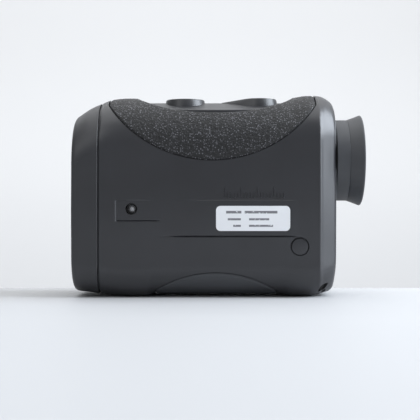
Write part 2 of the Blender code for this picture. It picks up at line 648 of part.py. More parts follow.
def side_screw(name, place, reach):
    """A pan-head screw with a cross recess, its head towards -Y."""
    x, z, seat_y = place
    seat = seat_y - GAP
    head = rod(name, "Y", (x, seat - SCREW_HEAD_HEIGHT, z), SCREW_HEAD_HEIGHT, SCREW_HEAD * 0.85, "steel",
               end_radius=SCREW_HEAD, segments=20)
    shank = rod(name + "_shank", "Y", (x, seat - 0.2 * MM, z), reach - seat, SCREW_SHANK, segments=12)
    boolean(head, shank, "UNION")
    slot = 0.18 * MM
    depth = 0.6 * MM
    top = seat - SCREW_HEAD_HEIGHT
    for tag, wide, tall in (("a", SCREW_HEAD * 0.6, slot), ("b", slot, SCREW_HEAD * 0.6)):
        boolean(head, box(f"{name}_cross_{tag}", (x - wide, top - MM, z - tall),
                          (x + wide, top + depth, z + tall)))
    return head


def case():
    stations = {
        "front_screw": screw_station("front_screw", FRONT_SCREW, True),
        "upper_screw": screw_station("upper_screw", UPPER_SCREW, True),
        "lower_screw": screw_station("lower_screw", LOWER_SCREW, True),
        "rear_screw": screw_station("rear_screw", REAR_SCREW, False),
    }
    opening_low = HINGE_Z - HINGE_ROOM
    far = CASE_HALF_WIDTH + BEYOND
    pocket = flat_outline("panel_pocket", panel_outline(-GAP), "XY", PANEL_CROWN - 8 * MM,
                          TOP_HEIGHT + BEYOND)
    pocket_floor = crowned_slab("pocket_floor", PANEL_CROWN - PANEL_THICKNESS - GAP, 12 * MM)
    boolean(pocket, pocket_floor)
    label_cut = flat_outline("label_recess", rounded_rectangle(
        (LABEL_X[0] - GAP, LABEL_Z[0] - GAP), (LABEL_X[1] + GAP, LABEL_Z[1] + GAP), LABEL_CORNER), "XZ",
        -far, 0.0)
    boolean(label_cut, envelope("label_floor", LABEL_PROUD + GAP, stretch=BEYOND))
    cutters = {
        "hollow": hollow(),
        "top": recess_cutter("top_recess", top_zone("top_recess", GAP)),
        "bottom": recess_cutter("bottom_recess", bottom_zone("bottom_recess", GAP)),
        "pocket": pocket,
        "window": flat_outline("panel_window", panel_outline(PANEL_LEDGE), "XY", VIEW_AXIS_Z,
                               TOP_HEIGHT + BEYOND),
        "eyepiece": rod("eyepiece_hole", "X", (CASE_REAR - 2 * REAR_WALL, 0, VIEW_AXIS_Z), 4 * REAR_WALL,
                        EYE_TUBE_OUTER + GAP, segments=32),
        "door": box("door_opening", (CASE_REAR - 2 * REAR_WALL, -DOOR_HALF_WIDTH - GAP, opening_low),
                    (CASE_REAR + BEYOND, DOOR_HALF_WIDTH + GAP, DOOR_TOP + GAP)),
        "hinge": rod("hinge_hole", "Y", (HINGE_X, -DOOR_HALF_WIDTH - 2.2 * MM, HINGE_Z),
                     2 * (DOOR_HALF_WIDTH + 2.2 * MM), HINGE_PIN_RADIUS + GAP, segments=16),
        "only_left_label": label_cut,
        "only_left_plug": rod("plug_seat", "Y", (REAR_SCREW[0], -far, REAR_SCREW[1]),
                              far - surface_y(REAR_SCREW[1]) + PLUG_THICKNESS + GAP, PLUG_RADIUS + GAP),
        "only_left_cord_slot": cord_slot_cutter(),
    }
    left_unions = []
    right_unions = []
    for name, (left_boss, right_boss, counterbore, pilot) in stations.items():
        left_unions.append(left_boss)
        if right_boss:
            right_unions.append(right_boss)
            cutters[name + "_pilot"] = pilot
        else:
            cutters["only_left_" + name + "_pilot"] = pilot
        cutters["only_left_" + name] = counterbore
    housing("left_housing", -1, cutters, left_unions)
    housing("right_housing", 1, cutters, right_unions)


def cord_slot_cutter():
    """A curved bore that leaves a bar at the lower rear corner for a wrist cord."""
    bm = bmesh.new()
    turn = Matrix.Rotation(math.radians(-40), 4, "Z") @ Matrix.Rotation(math.radians(52), 4, "X")
    bmesh.ops.create_circle(bm, cap_ends=False, segments=10, radius=CORD_BORE,
                                   matrix=Matrix.Translation((CORD_LOOP_RADIUS, 0, 0))
                                   @ Matrix.Rotation(math.radians(90), 4, "X"))
    bmesh.ops.spin(bm, geom=bm.verts[:] + bm.edges[:], cent=(0, 0, 0), axis=(0, 0, 1), angle=2 * math.pi,
                   steps=20, use_merge=True)
    bmesh.ops.remove_doubles(bm, verts=bm.verts, dist=1e-6)
    bm.transform(Matrix.Translation(CORD_POINT) @ turn @ Matrix.Rotation(math.radians(90), 4, "Y"))
    return from_bmesh("cord_slot", bm, None)


def bezel():
    stations = bezel_stations()
    body = loft("front_bezel", [(x, section(w, top, bottom)) for x, w, top, bottom in stations],
                "bezel_polymer")
    inner = [section(w, top, bottom, BEZEL_WALL) for x, w, top, bottom in stations[2:]]
    depths = (BEZEL_FRONT + BEZEL_WALL, stations[3][0], BEZEL_REAR + BEYOND)
    boolean(body, loft("bezel_hollow", list(zip(depths, inner))))
    for name, axis_z, radius in (("objective", VIEW_AXIS_Z, OBJECTIVE_OUTER),
                                 ("receiver", RECEIVER_AXIS_Z, RECEIVER_OUTER)):
        hole = radius + GAP
        boolean(body, rod(name + "_hole", "X", (BEZEL_FRONT - MM, 0, axis_z), BEYOND, hole, segments=32))
        boolean(body, rod(name + "_flare", "X", (BEZEL_FRONT - 0.2 * MM, 0, axis_z), 1.4 * MM,
                          hole + 0.8 * MM,
                          end_radius=hole - 0.2 * MM, segments=32))
    front = stations[-1]
    rows = [(x, section(front[1], front[2], front[3], SEAL_SETBACK))
            for x in (BEZEL_REAR + HALF_GAP, BEZEL_REAR + HALF_GAP + SEAL_THICKNESS)]
    seal = loft("front_seal", rows, "smooth_rubber")
    inside = [(x, section(front[1], front[2], front[3],
                          BEZEL_WALL)) for x in (BEZEL_REAR - MM, CASE_FRONT + MM)]
    boolean(seal, loft("seal_hole", inside))


def grips():
    top = envelope("top_grip", 0.0, "grip_rubber")
    boolean(top, envelope("top_grip_back", GRIP_THICKNESS, stretch=2 * BEYOND))
    boolean(top, top_zone("top_grip_zone"), "INTERSECT")
    boolean(top, flat_outline("top_grip_window", panel_outline(-GAP), "XY", VIEW_AXIS_Z, TOP_HEIGHT + BEYOND))
    bottom = envelope("bottom_grip", 0.0, "smooth_rubber")
    boolean(bottom, envelope("bottom_grip_back", GRIP_THICKNESS, stretch=2 * BEYOND))
    boolean(bottom, bottom_zone("bottom_grip_zone"), "INTERSECT")


def panel_and_buttons():
    panel = crowned_slab("control_panel", PANEL_CROWN, PANEL_THICKNESS, "satin_polymer")
    boolean(panel, flat_outline("panel_plan", panel_outline(), "XY", VIEW_AXIS_Z, TOP_HEIGHT + BEYOND),
            "INTERSECT")
    base = PANEL_CROWN - PANEL_THICKNESS + 0.3 * MM
    collar = rod("power_collar", "Z", (POWER_X, 0, base), PANEL_CROWN + POWER_COLLAR_HEIGHT - base,
                 POWER_COLLAR_RADIUS, segments=32)
    ramp = bmesh.new()
    slim = MODE_COLLAR_RADIUS / 3
    for x, z, radius in ((MODE_X, PANEL_CROWN + MODE_COLLAR_HEIGHT, MODE_COLLAR_RADIUS),
                         (MODE_X, base, MODE_COLLAR_RADIUS),
                         (MODE_X - MODE_RAMP_LENGTH + slim, PANEL_CROWN + 0.1 * MM, slim),
                         (MODE_X - MODE_RAMP_LENGTH + slim, base, slim)):
        bmesh.ops.create_circle(ramp, segments=24, radius=radius, matrix=Matrix.Translation((x, 0, z)))
    bmesh.ops.convex_hull(ramp, input=ramp.verts)
    ramp_object = from_bmesh("mode_ramp", ramp, None)
    for shape in (collar, ramp_object):
        boolean(panel, shape, "UNION")
    for name, x, radius, height in (("power", POWER_X, POWER_BUTTON_RADIUS, POWER_BUTTON_HEIGHT),
                                    ("mode", MODE_X, MODE_BUTTON_RADIUS, MODE_BUTTON_HEIGHT)):
        boolean(panel, rod(name + "_button_hole", "Z", (x, 0, BUTTON_BASE), BEYOND * 2, radius + GAP,
                           segments=32))
        shoulder = PANEL_CROWN + height - BUTTON_CROWN
        overlap = 0.1 * MM
        button = rod(name + "_button", "Z", (x, 0, BUTTON_BASE), shoulder - BUTTON_BASE, radius,
                     "button_rubber", segments=32)
        cap = rod(name + "_cap", "Z", (x, 0, shoulder - overlap), BUTTON_CROWN + overlap, radius,
                  end_radius=radius - BUTTON_CROWN * 1.6, segments=32)
        flange = rod(name + "_flange", "Z", (x, 0, BUTTON_BASE), BUTTON_FLANGE_THICKNESS,
                     radius + BUTTON_FLANGE,
                     segments=32)
        boolean(button, cap, "UNION")
        boolean(button, flange, "UNION")
        switch = box(name + "_switch", (x - SWITCH_SIDE / 2, -SWITCH_SIDE / 2, SWITCH_BASE),
                     (x + SWITCH_SIDE / 2, SWITCH_SIDE / 2, SWITCH_BASE + SWITCH_HEIGHT), "black_epoxy")
        boolean(switch, rod(name + "_switch_bore", "Z", (x, 0, SWITCH_BASE - MM), SWITCH_HEIGHT + 2 * MM,
                            PLUNGER_RADIUS + GAP, segments=16))
        plunger_top = BUTTON_BASE - GAP
        rod(name + "_switch_plunger", "Z", (x, 0, plunger_top - PLUNGER_LENGTH), PLUNGER_LENGTH,
            PLUNGER_RADIUS, "button_rubber", segments=16)
    before, after = BUTTON_BOARD_MARGINS
    box("button_board", (POWER_X - before, -BUTTON_BOARD_HALF_WIDTH, BUTTON_BOARD_TOP - BOARD_THICKNESS),
        (MODE_X + after, BUTTON_BOARD_HALF_WIDTH, BUTTON_BOARD_TOP), "circuit_board")


# ---------------------------------------------------------------- optics
def ring_profile(front, rear, inner, outer):
    return [(front, inner), (front, outer), (rear, outer), (rear, inner)]


def retainer(name, front, length, outer, width, axis_z=VIEW_AXIS_Z):
    """A threaded ring that holds a lens in its barrel."""
    return turned(name, ring_profile(front, front + length, outer - width, outer), "black_aluminium", axis_z,
                  24)


def front_optics():
    inner = OBJECTIVE_OUTER - OBJECTIVE_WALL
    crown_thickness, crown_bulge = 3.6 * MM, 0.9 * MM
    flint_thickness = 2.4 * MM
    flint_front = LENS_FRONT + crown_thickness - crown_bulge + 2 * GAP + HALF_GAP / 3
    seat = flint_front + flint_thickness + 2 * GAP + HALF_GAP
    turned("objective_barrel", [
        (BARREL_FRONT, inner), (BARREL_FRONT, OBJECTIVE_OUTER), (OBJECTIVE_REAR, OBJECTIVE_OUTER),
        (OBJECTIVE_REAR, inner - OBJECTIVE_STOP), (seat, inner - OBJECTIVE_STOP), (seat, inner),
    ], "black_aluminium")
    glass = inner - GAP
    retainer_front = LENS_FRONT - GAP - RETAINER_LENGTH
    retainer("objective_retainer", retainer_front, RETAINER_LENGTH, glass, 1.3 * MM)
    lens("objective_crown_lens", LENS_FRONT, crown_thickness, glass, 1.3 * MM, crown_bulge, VIEW_AXIS_Z)
    lens("objective_flint_lens", flint_front, flint_thickness, glass, -crown_bulge, 0.3 * MM, VIEW_AXIS_Z)
    tail_inner = RECEIVER_TAIL_RADIUS - RECEIVER_WALL
    inner = RECEIVER_OUTER - RECEIVER_WALL
    lens_thickness = 4.0 * MM
    seat = LENS_FRONT + lens_thickness + GAP
    turned("receiver_barrel", [
        (BARREL_FRONT, inner), (BARREL_FRONT, RECEIVER_OUTER), (RECEIVER_STRAIGHT_END, RECEIVER_OUTER),
        (RECEIVER_REAR, RECEIVER_TAIL_RADIUS), (RECEIVER_REAR, tail_inner),
        (RECEIVER_STRAIGHT_END, inner - RECEIVER_STOP), (seat, inner - RECEIVER_STOP), (seat, inner),
    ], "black_aluminium", RECEIVER_AXIS_Z)
    glass = inner - GAP
    retainer("receiver_retainer", retainer_front, RETAINER_LENGTH, glass, 1.2 * MM, RECEIVER_AXIS_Z)
    lens("receiver_lens", LENS_FRONT, lens_thickness, glass, 1.5 * MM, 0.8 * MM, RECEIVER_AXIS_Z)
    detector_front = RECEIVER_REAR - 2 * GAP
    rod("apd_detector", "X", (detector_front, 0, RECEIVER_AXIS_Z), DETECTOR_LENGTH, DETECTOR_RADIUS,
        "gold_plate",
        segments=20)
    board_x = detector_front + DETECTOR_LENGTH + GAP
    half = DETECTOR_BOARD_HALF_SIDE
    box("apd_board", (board_x, -half, RECEIVER_AXIS_Z - half),
        (board_x + BOARD_THICKNESS, half, RECEIVER_AXIS_Z + half), "circuit_board")


def bulkhead():
    """The plate that carries both front barrels, shaped to the inside of the case."""
    x, w, top, bottom = CASE_STATIONS[2]
    outline = section(w - WALL - GAP, top - ROOF - 0.9 * MM, bottom + WALL + 1.2 * MM,
                      corner=BOTTOM_CORNER - WALL)
    plate = loft("lens_bulkhead", [(x - 1.8 * MM, outline), (x, outline)], "nylon")
    share = (x - 1.8 * MM - RECEIVER_STRAIGHT_END) / (RECEIVER_REAR - RECEIVER_STRAIGHT_END)
    cone = RECEIVER_OUTER + share * (RECEIVER_TAIL_RADIUS - RECEIVER_OUTER)
    for name, axis_z, radius in (("upper", VIEW_AXIS_Z, OBJECTIVE_OUTER), ("lower", RECEIVER_AXIS_Z, cone)):
        boolean(plate, rod(name + "_barrel_hole", "X", (x - BEYOND, 0, axis_z), 2 * BEYOND, radius + GAP,
                           segments=32))


def prism_train():
    low_z = VIEW_AXIS_Z - PRISM_BOX_HALF_HEIGHT
    high_z = VIEW_AXIS_Z + PRISM_BOX_HALF_HEIGHT
    wall = PRISM_BOX_WALL
    holder = box("prism_housing", (PRISM_BOX_FRONT, -PRISM_BOX_HALF_WIDTH, low_z),
                 (PRISM_BOX_REAR, PRISM_BOX_HALF_WIDTH, high_z), "black_aluminium")
    boolean(holder, box("prism_room", (PRISM_BOX_FRONT + wall, -PRISM_BOX_HALF_WIDTH + wall, low_z + wall),
                        (PRISM_BOX_REAR - wall, PRISM_BOX_HALF_WIDTH + BEYOND, high_z - wall)))
    boolean(holder, rod("light_path", "X", (PRISM_BOX_FRONT - MM, 0, VIEW_AXIS_Z),
                        PRISM_BOX_REAR - PRISM_BOX_FRONT + 2 * MM, 8.0 * MM, segments=32))
    laser_x = PRISM_BOX_REAR - LASER_SETBACK
    boolean(holder, rod("laser_port", "Z", (laser_x, 0, low_z - MM), 4 * MM, 2.4 * MM, segments=20))
    glass_half = PRISM_BOX_HALF_WIDTH - wall - 1.0 * MM
    reach = PRISM_BOX_HALF_HEIGHT - wall - GAP
    front = PRISM_BOX_FRONT + wall + GAP
    middle = front + 1.55 * reach
    roof_outline = [(front, VIEW_AXIS_Z - reach), (front, VIEW_AXIS_Z + reach * 0.45),
                    (front + reach * 0.55, VIEW_AXIS_Z + reach), (middle, VIEW_AXIS_Z + reach),
                    (middle - reach * 0.9, VIEW_AXIS_Z - reach)]
    flat_outline("roof_prism", roof_outline, "XZ", -glass_half, glass_half, "coated_glass")
    rear = PRISM_BOX_REAR - wall - GAP
    splitter_outline = [(rear, VIEW_AXIS_Z - reach), (rear, VIEW_AXIS_Z + reach),
                        (middle + GAP * 2, VIEW_AXIS_Z + reach),
                        (middle + GAP * 2 - reach * 0.9, VIEW_AXIS_Z - reach)]
    flat_outline("splitter_prism", splitter_outline, "XZ", -glass_half, glass_half, "coated_glass")
    diode_top = low_z - GAP
    rod("laser_diode", "Z", (laser_x, 0, diode_top - LASER_LENGTH), LASER_LENGTH, LASER_RADIUS, "gold_plate",
        segments=20)
    board_top = diode_top - LASER_LENGTH - GAP
    half = LASER_BOARD_HALF_SIDE
    box("laser_board", (laser_x - half, -half, board_top - BOARD_THICKNESS),
        (laser_x + half, half, board_top),
        "circuit_board")
    display_x = PRISM_BOX_REAR + DISPLAY_GAP
    half = DISPLAY_HALF_SIDE
    box("reticle_display", (display_x, -half, VIEW_AXIS_Z - half),
        (display_x + DISPLAY_THICKNESS, half, VIEW_AXIS_Z + half), "coated_glass")


def eyepiece():
    inner = EYE_TUBE_OUTER - EYE_TUBE_WALL
    wall_inside = CASE_REAR - REAR_WALL
    flange_front = wall_inside - GAP - EYE_FLANGE_LENGTH
    tube = turned("eyepiece_tube", [
        (EYE_TUBE_FRONT, inner), (EYE_TUBE_FRONT, EYE_TUBE_OUTER), (flange_front, EYE_TUBE_OUTER),
        (flange_front, EYE_TUBE_OUTER + EYE_FLANGE_WIDTH),
        (wall_inside - GAP, EYE_TUBE_OUTER + EYE_FLANGE_WIDTH),
        (wall_inside - GAP, EYE_TUBE_OUTER), (EYE_TUBE_REAR, EYE_TUBE_OUTER), (EYE_TUBE_REAR, inner),
    ], "black_aluminium")
    slot = FOCUS_PIN_RADIUS + GAP
    reach = DIOPTER_TRAVEL + slot
    boolean(tube, box("pin_slot", (FOCUS_PIN_X - reach, -slot, VIEW_AXIS_Z + EYE_TUBE_OUTER - 3 * MM),
                      (FOCUS_PIN_X + reach, slot, VIEW_AXIS_Z + EYE_TUBE_OUTER + MM)))
    bore = OCULAR_OUTER - OCULAR_WALL
    barrel = turned("ocular_barrel", ring_profile(OCULAR_FRONT, OCULAR_REAR, bore, OCULAR_OUTER),
                    "black_aluminium")
    glass = bore - GAP
    retainer("ocular_retainer", OCULAR_REAR - 1.2 * MM, 1.2 * MM, glass, 1.0 * MM)
    lens("eye_lens", OCULAR_REAR - 1.2 * MM - GAP - 4.2 * MM, 4.2 * MM, glass, 1.4 * MM, 0.8 * MM,
         VIEW_AXIS_Z)
    lens("field_lens", OCULAR_FRONT + 1.5 * MM, 3.6 * MM, glass, 0.6 * MM, 1.2 * MM, VIEW_AXIS_Z)
    pin_foot = OCULAR_OUTER - 1.0 * MM
    pin_top = DIOPTER_INNER + 0.2 * MM
    rod("focus_pin", "Z", (FOCUS_PIN_X, 0, VIEW_AXIS_Z + pin_foot), pin_top - pin_foot, FOCUS_PIN_RADIUS,
        "steel", segments=16)
    boolean(barrel, rod("focus_pin_hole", "Z", (FOCUS_PIN_X, 0, VIEW_AXIS_Z + pin_foot - GAP), 4 * MM,
                        FOCUS_PIN_RADIUS + GAP, segments=16))
    ring = turned("diopter_ring", ring_profile(DIOPTER_FRONT, DIOPTER_REAR, DIOPTER_INNER, DIOPTER_OUTER),
                  "nylon")
    boolean(ring, helix_groove())
    lip = DIOPTER_REAR + GAP
    flare_start = DIOPTER_FRONT + 0.1 * MM + EYECUP_NECK
    flare = EYECUP_REAR - flare_start
    steps = 4
    outside = [(flare_start + flare * 0.9 * i / steps,
                EYECUP_NECK_RADIUS + EYECUP_FLARE * math.sin(math.pi / 2 * i / steps)) for i in range(steps + 1)]
    turned("eyecup", [
        (DIOPTER_FRONT + 0.1 * MM, EYECUP_INNER), (DIOPTER_FRONT + 0.1 * MM, EYECUP_NECK_RADIUS), *outside,
        (EYECUP_REAR, EYECUP_RIM_RADIUS - 0.5 * MM), (EYECUP_REAR, EYECUP_RIM_RADIUS - 1.2 * MM),
        (EYECUP_REAR - 0.5 * MM, EYECUP_RIM_RADIUS - 1.6 * MM), (lip + 1.2 * MM, EYECUP_INNER - 0.6 * MM),
        (lip + 0.6 * MM, EYE_TUBE_OUTER), (lip, EYE_TUBE_OUTER), (lip, EYECUP_INNER),
    ], "smooth_rubber")


def helix_groove():
    """The groove inside the diopter ring that drives the focus pin: a round cutter along a helix."""
    spare = math.radians(9)
    steps = 24
    radius = DIOPTER_INNER - 0.4 * MM
    lead = DIOPTER_TRAVEL / DIOPTER_ANGLE
    curve = bpy.data.curves.new("helix_groove", "CURVE")
    curve.dimensions = "3D"
    curve.bevel_depth = 1.05 * MM
    curve.bevel_resolution = 2
    curve.use_fill_caps = True
    spline = curve.splines.new("POLY")
    spline.points.add(steps)
    for i, point in enumerate(spline.points):
        angle = (DIOPTER_ANGLE + spare) * (2 * i / steps - 1)
        # A turn about +X carries +Z towards -Y.
        point.co = (FOCUS_PIN_X - lead * angle, -radius * math.sin(angle),
                    VIEW_AXIS_Z + radius * math.cos(angle), 1.0)
    guide = bpy.data.objects.new("helix_guide", curve)
    CUTTERS.objects.link(guide)
    bpy.context.view_layer.update()
    graph = bpy.context.evaluated_depsgraph_get()
    mesh = bpy.data.meshes.new_from_object(guide.evaluated_get(graph))
    bpy.data.objects.remove(guide)
    bm = bmesh.new()
    bm.from_mesh(mesh)
    bmesh.ops.remove_doubles(bm, verts=bm.verts, dist=1e-7)
    return from_bmesh("helix_groove", bm, None)


# ---------------------------------------------------------------- electronics and power
def main_board():
    low_x, high_x = MAIN_BOARD_X
    low_z, high_z = MAIN_BOARD_Z
    board = box("main_board", (low_x, MAIN_BOARD_Y, low_z), (high_x, MAIN_BOARD_Y + BOARD_THICKNESS, high_z),
                "circuit_board")
    face = MAIN_BOARD_Y - GAP
    box("processor_chip", (-2 * MM, face - 1.2 * MM, low_z + 12 * MM), (6 * MM, face, low_z + 20 * MM),
        "black_epoxy")
    box("laser_transformer", (low_x + 6 * MM, face - 5 * MM, low_z + MM),
        (low_x + 14 * MM, face, low_z + 9 * MM), "copper")
    rod("pulse_capacitor", "X", (low_x + 5 * MM, face - 3.2 * MM, low_z + 15 * MM), 11 * MM, 3.1 * MM,
        "battery_sleeve")
    inset = 3.0 * MM
    for name, x in (("board_screw_front", low_x + inset), ("board_screw_rear", high_x - inset)):
        z = high_z - inset
        boolean(board, rod(name + "_hole", "Y", (x, MAIN_BOARD_Y - MM, z), 4 * MM, SCREW_SHANK + GAP,
                           segments=12))
        screw = rod(name, "Y", (x, face - 1.0 * MM, z), 1.0 * MM, SCREW_HEAD, "steel", segments=16)
        shank = rod(name + "_shank", "Y", (x, face - 0.2 * MM, z), 2.0 * MM, SCREW_SHANK, segments=12)
        boolean(screw, shank, "UNION")


def ribbon(name, points, half_width):
    """A flat flexible cable: a path in YZ at one x, given thickness by offsetting each bend."""
    thickness = 0.2 * MM
    x, path = points
    upper = [(y + thickness, z + thickness) for y, z in reversed(path)]
    return flat_outline(name, path + upper, "YZ", x - half_width, x + half_width, "polyimide")


def ribbons():
    board_low = BUTTON_BOARD_TOP - BOARD_THICKNESS - GAP
    outer = MAIN_BOARD_Y - 1.3 * MM
    bend = round_half_width(board_low, LOW_TOP - ROOF, WALL) - RIBBON_CLEARANCE
    ribbon("button_ribbon", (0.0, [(5.0 * MM, board_low - 0.25 * MM), (bend, board_low - 0.25 * MM),
                                   (outer, board_low - 3.2 * MM), (outer, MAIN_BOARD_Z[1] - 3 * MM)]), 4 * MM)
    display_x = PRISM_BOX_REAR + DISPLAY_GAP + DISPLAY_THICKNESS / 2
    low = VIEW_AXIS_Z - DISPLAY_HALF_SIDE - GAP
    ribbon("display_ribbon", (display_x, [(6.0 * MM, low - 0.9 * MM), (outer - 1.0 * MM, low - 0.9 * MM),
                                          (outer, low - 2.4 * MM), (outer, low - 7 * MM)]), 3 * MM)


def battery_bay():
    z = BATTERY_AXIS_Z
    holder_rear = BATTERY_REAR - 0.4 * MM
    vent = 3.0 * MM
    holder = turned("battery_holder", [
        (HOLDER_FRONT, vent), (HOLDER_FRONT, HOLDER_OUTER), (holder_rear, HOLDER_OUTER),
        (holder_rear, HOLDER_INNER), (HOLDER_FRONT + HOLDER_WALL, HOLDER_INNER),
        (HOLDER_FRONT + HOLDER_WALL, vent),
    ], "nylon", z, segments=28)
    lug_end = HOLDER_OUTER + LUG_LENGTH
    lug = rod("holder_lug", "Y", (REAR_SCREW[0], -lug_end, REAR_SCREW[1]), lug_end - HOLDER_INNER - 0.5 * MM,
              BOSS_RADIUS)
    boolean(holder, lug, "UNION")
    boolean(holder, rod("holder_pilot", "Y", (REAR_SCREW[0], -lug_end - MM, REAR_SCREW[1]), 4.2 * MM,
                        SCREW_SHANK + GAP, segments=16))
    turned("battery", [
        (BATTERY_FRONT, 0.0), (BATTERY_FRONT, BATTERY_RADIUS - 0.4 * MM),
        (BATTERY_FRONT + 0.4 * MM, BATTERY_RADIUS),
        (BATTERY_REAR - BATTERY_TIP - 0.6 * MM, BATTERY_RADIUS),
        (BATTERY_REAR - BATTERY_TIP, BATTERY_RADIUS - 0.6 * MM),
        (BATTERY_REAR - BATTERY_TIP, 3.2 * MM), (BATTERY_REAR, 3.2 * MM), (BATTERY_REAR, 0.0),
    ], "battery_sleeve", z, segments=28)
    battery_spring(HOLDER_FRONT + HOLDER_WALL + GAP, BATTERY_FRONT - GAP, z)


def battery_spring(front, rear, axis_z):
    """A conical coil from the holder's end wall to the battery."""
    wire = 0.35 * MM
    turns = 2.5
    steps = 30
    curve = bpy.data.curves.new("battery_spring", "CURVE")
    curve.dimensions = "3D"
    curve.bevel_depth = wire
    curve.bevel_resolution = 1
    curve.use_fill_caps = True
    spline = curve.splines.new("POLY")
    spline.points.add(steps)
    for i, point in enumerate(spline.points):
        share = i / steps
        angle = 2 * math.pi * turns * share
        radius = BATTERY_RADIUS - (1.4 + 3.0 * share) * MM
        x = front + wire + (rear - front - 2 * wire) * share
        point.co = (x, radius * math.cos(angle), axis_z + radius * math.sin(angle), 1.0)
    obj = bpy.data.objects.new("battery_spring", curve)
    curve.materials.append(material("steel"))
    PARTS.objects.link(obj)


def battery_door():
    rear = CASE_REAR - DOOR_SINK
    inside = rear - DOOR_THICKNESS
    low = HINGE_Z + 0.6 * MM
    door = flat_outline("battery_door", rounded_rectangle((-DOOR_HALF_WIDTH, low),
                                                          (DOOR_HALF_WIDTH, DOOR_TOP), 0.8 * MM, 2),
                        "YZ", inside, rear, "satin_polymer")
    knuckle_half = DOOR_HALF_WIDTH - 2.0 * MM
    boolean(door, rod("door_knuckle", "Y", (HINGE_X, -knuckle_half, HINGE_Z), 2 * knuckle_half,
                      HINGE_KNUCKLE), "UNION")
    boolean(door, rod("door_bore", "Y", (HINGE_X, -DOOR_HALF_WIDTH - MM, HINGE_Z),
                      2 * DOOR_HALF_WIDTH + 2 * MM,
                      HINGE_PIN_RADIUS + GAP, segments=16))
    boolean(door, rod("door_finger_dip", "Y", (rear + 1.9 * MM, -4 * MM, DOOR_TOP - 3.5 * MM), 8 * MM,
                      2.6 * MM))
    pin_half = DOOR_HALF_WIDTH + 1.8 * MM
    rod("door_hinge_pin", "Y", (HINGE_X, -pin_half, HINGE_Z), 2 * pin_half, HINGE_PIN_RADIUS, "steel",
        segments=12)
    seal_rear = inside - HALF_GAP
    outer = DOOR_HALF_WIDTH - 0.3 * MM
    seal = flat_outline("door_seal", rounded_rectangle((-outer, low + 0.6 * MM),
                                                       (outer, DOOR_TOP - 0.4 * MM), 0.8 * MM, 2),
                        "YZ", seal_rear - 0.35 * MM, seal_rear, "smooth_rubber")
    boolean(seal, box("seal_window", (seal_rear - MM, -outer + 1.1 * MM, low + 1.7 * MM),
                      (seal_rear + MM, outer - 1.1 * MM, DOOR_TOP - 1.5 * MM)))
    box("door_contact", (seal_rear - 0.3 * MM, -4 * MM, BATTERY_AXIS_Z - 4 * MM),
        (seal_rear, 4 * MM, BATTERY_AXIS_Z + 4 * MM), "gold_plate")


# ---------------------------------------------------------------- trim
def trim():
    far = CASE_HALF_WIDTH + BEYOND
    label = flat_outline("rating_label", rounded_rectangle((LABEL_X[0], LABEL_Z[0]),
                                                           (LABEL_X[1], LABEL_Z[1]), LABEL_CORNER),
                         "XZ", -far, 0.0, "label_film")
    boolean(label, envelope("label_back", LABEL_PROUD, stretch=BEYOND))
    boolean(label, envelope("label_front", -LABEL_PROUD, stretch=BEYOND), "INTERSECT")
    plug_y = surface_y(REAR_SCREW[1])
    rod("screw_plug", "Y", (REAR_SCREW[0], -plug_y + 0.1 * MM, REAR_SCREW[1]), PLUG_THICKNESS - 0.1 * MM,
        PLUG_RADIUS,
        "satin_polymer", segments=32)
    side_screw("side_screw_front", FRONT_SCREW, 8.0 * MM)
    side_screw("side_screw_upper", UPPER_SCREW, 8.0 * MM)
    side_screw("side_screw_lower", LOWER_SCREW, 8.0 * MM)
    side_screw("side_screw_rear", REAR_SCREW, -(HOLDER_OUTER + 1.3 * MM))


def joint_empty(name, point, children):
    """An empty on a joint's axis that carries the pieces which move with it."""
    empty = bpy.data.objects.new(name, None)
    empty.location = point
    PARTS.objects.link(empty)
    for child in children:
        obj = bpy.data.objects[child]
        obj.parent = empty
        obj.matrix_parent_inverse = Matrix.Translation(-Vector(point))


def joints():
    joint_empty("power_button_axis", (POWER_X, 0, BUTTON_BASE), ("power_button", "power_switch_plunger"))
    joint_empty("mode_button_axis", (MODE_X, 0, BUTTON_BASE), ("mode_button", "mode_switch_plunger"))
    joint_empty("diopter_axis", (DIOPTER_FRONT, 0, VIEW_AXIS_Z), ("diopter_ring", "eyecup"))
    joint_empty("ocular_axis", (OCULAR_FRONT, 0, VIEW_AXIS_Z),
                ("ocular_barrel", "ocular_retainer", "eye_lens", "field_lens", "focus_pin"))
    joint_empty("battery_door_axis", (HINGE_X, 0, HINGE_Z), ("battery_door", "door_seal", "door_contact"))


def main():
    clear_scene()
    make_collections()
    case()
    bezel()
    grips()
    panel_and_buttons()
    front_optics()
    bulkhead()
    prism_train()
    eyepiece()
    main_board()
    ribbons()
    battery_bay()
    battery_door()
    trim()
    joints()


main()
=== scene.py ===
"""Pocket laser rangefinder: finished surfaces, finishes, lights and camera around the fixed frame."""

import json
import math

import bmesh
import bpy
import numpy as np
from bpy.props import FloatProperty, FloatVectorProperty, IntProperty, PointerProperty
from mathutils import Matrix, Vector

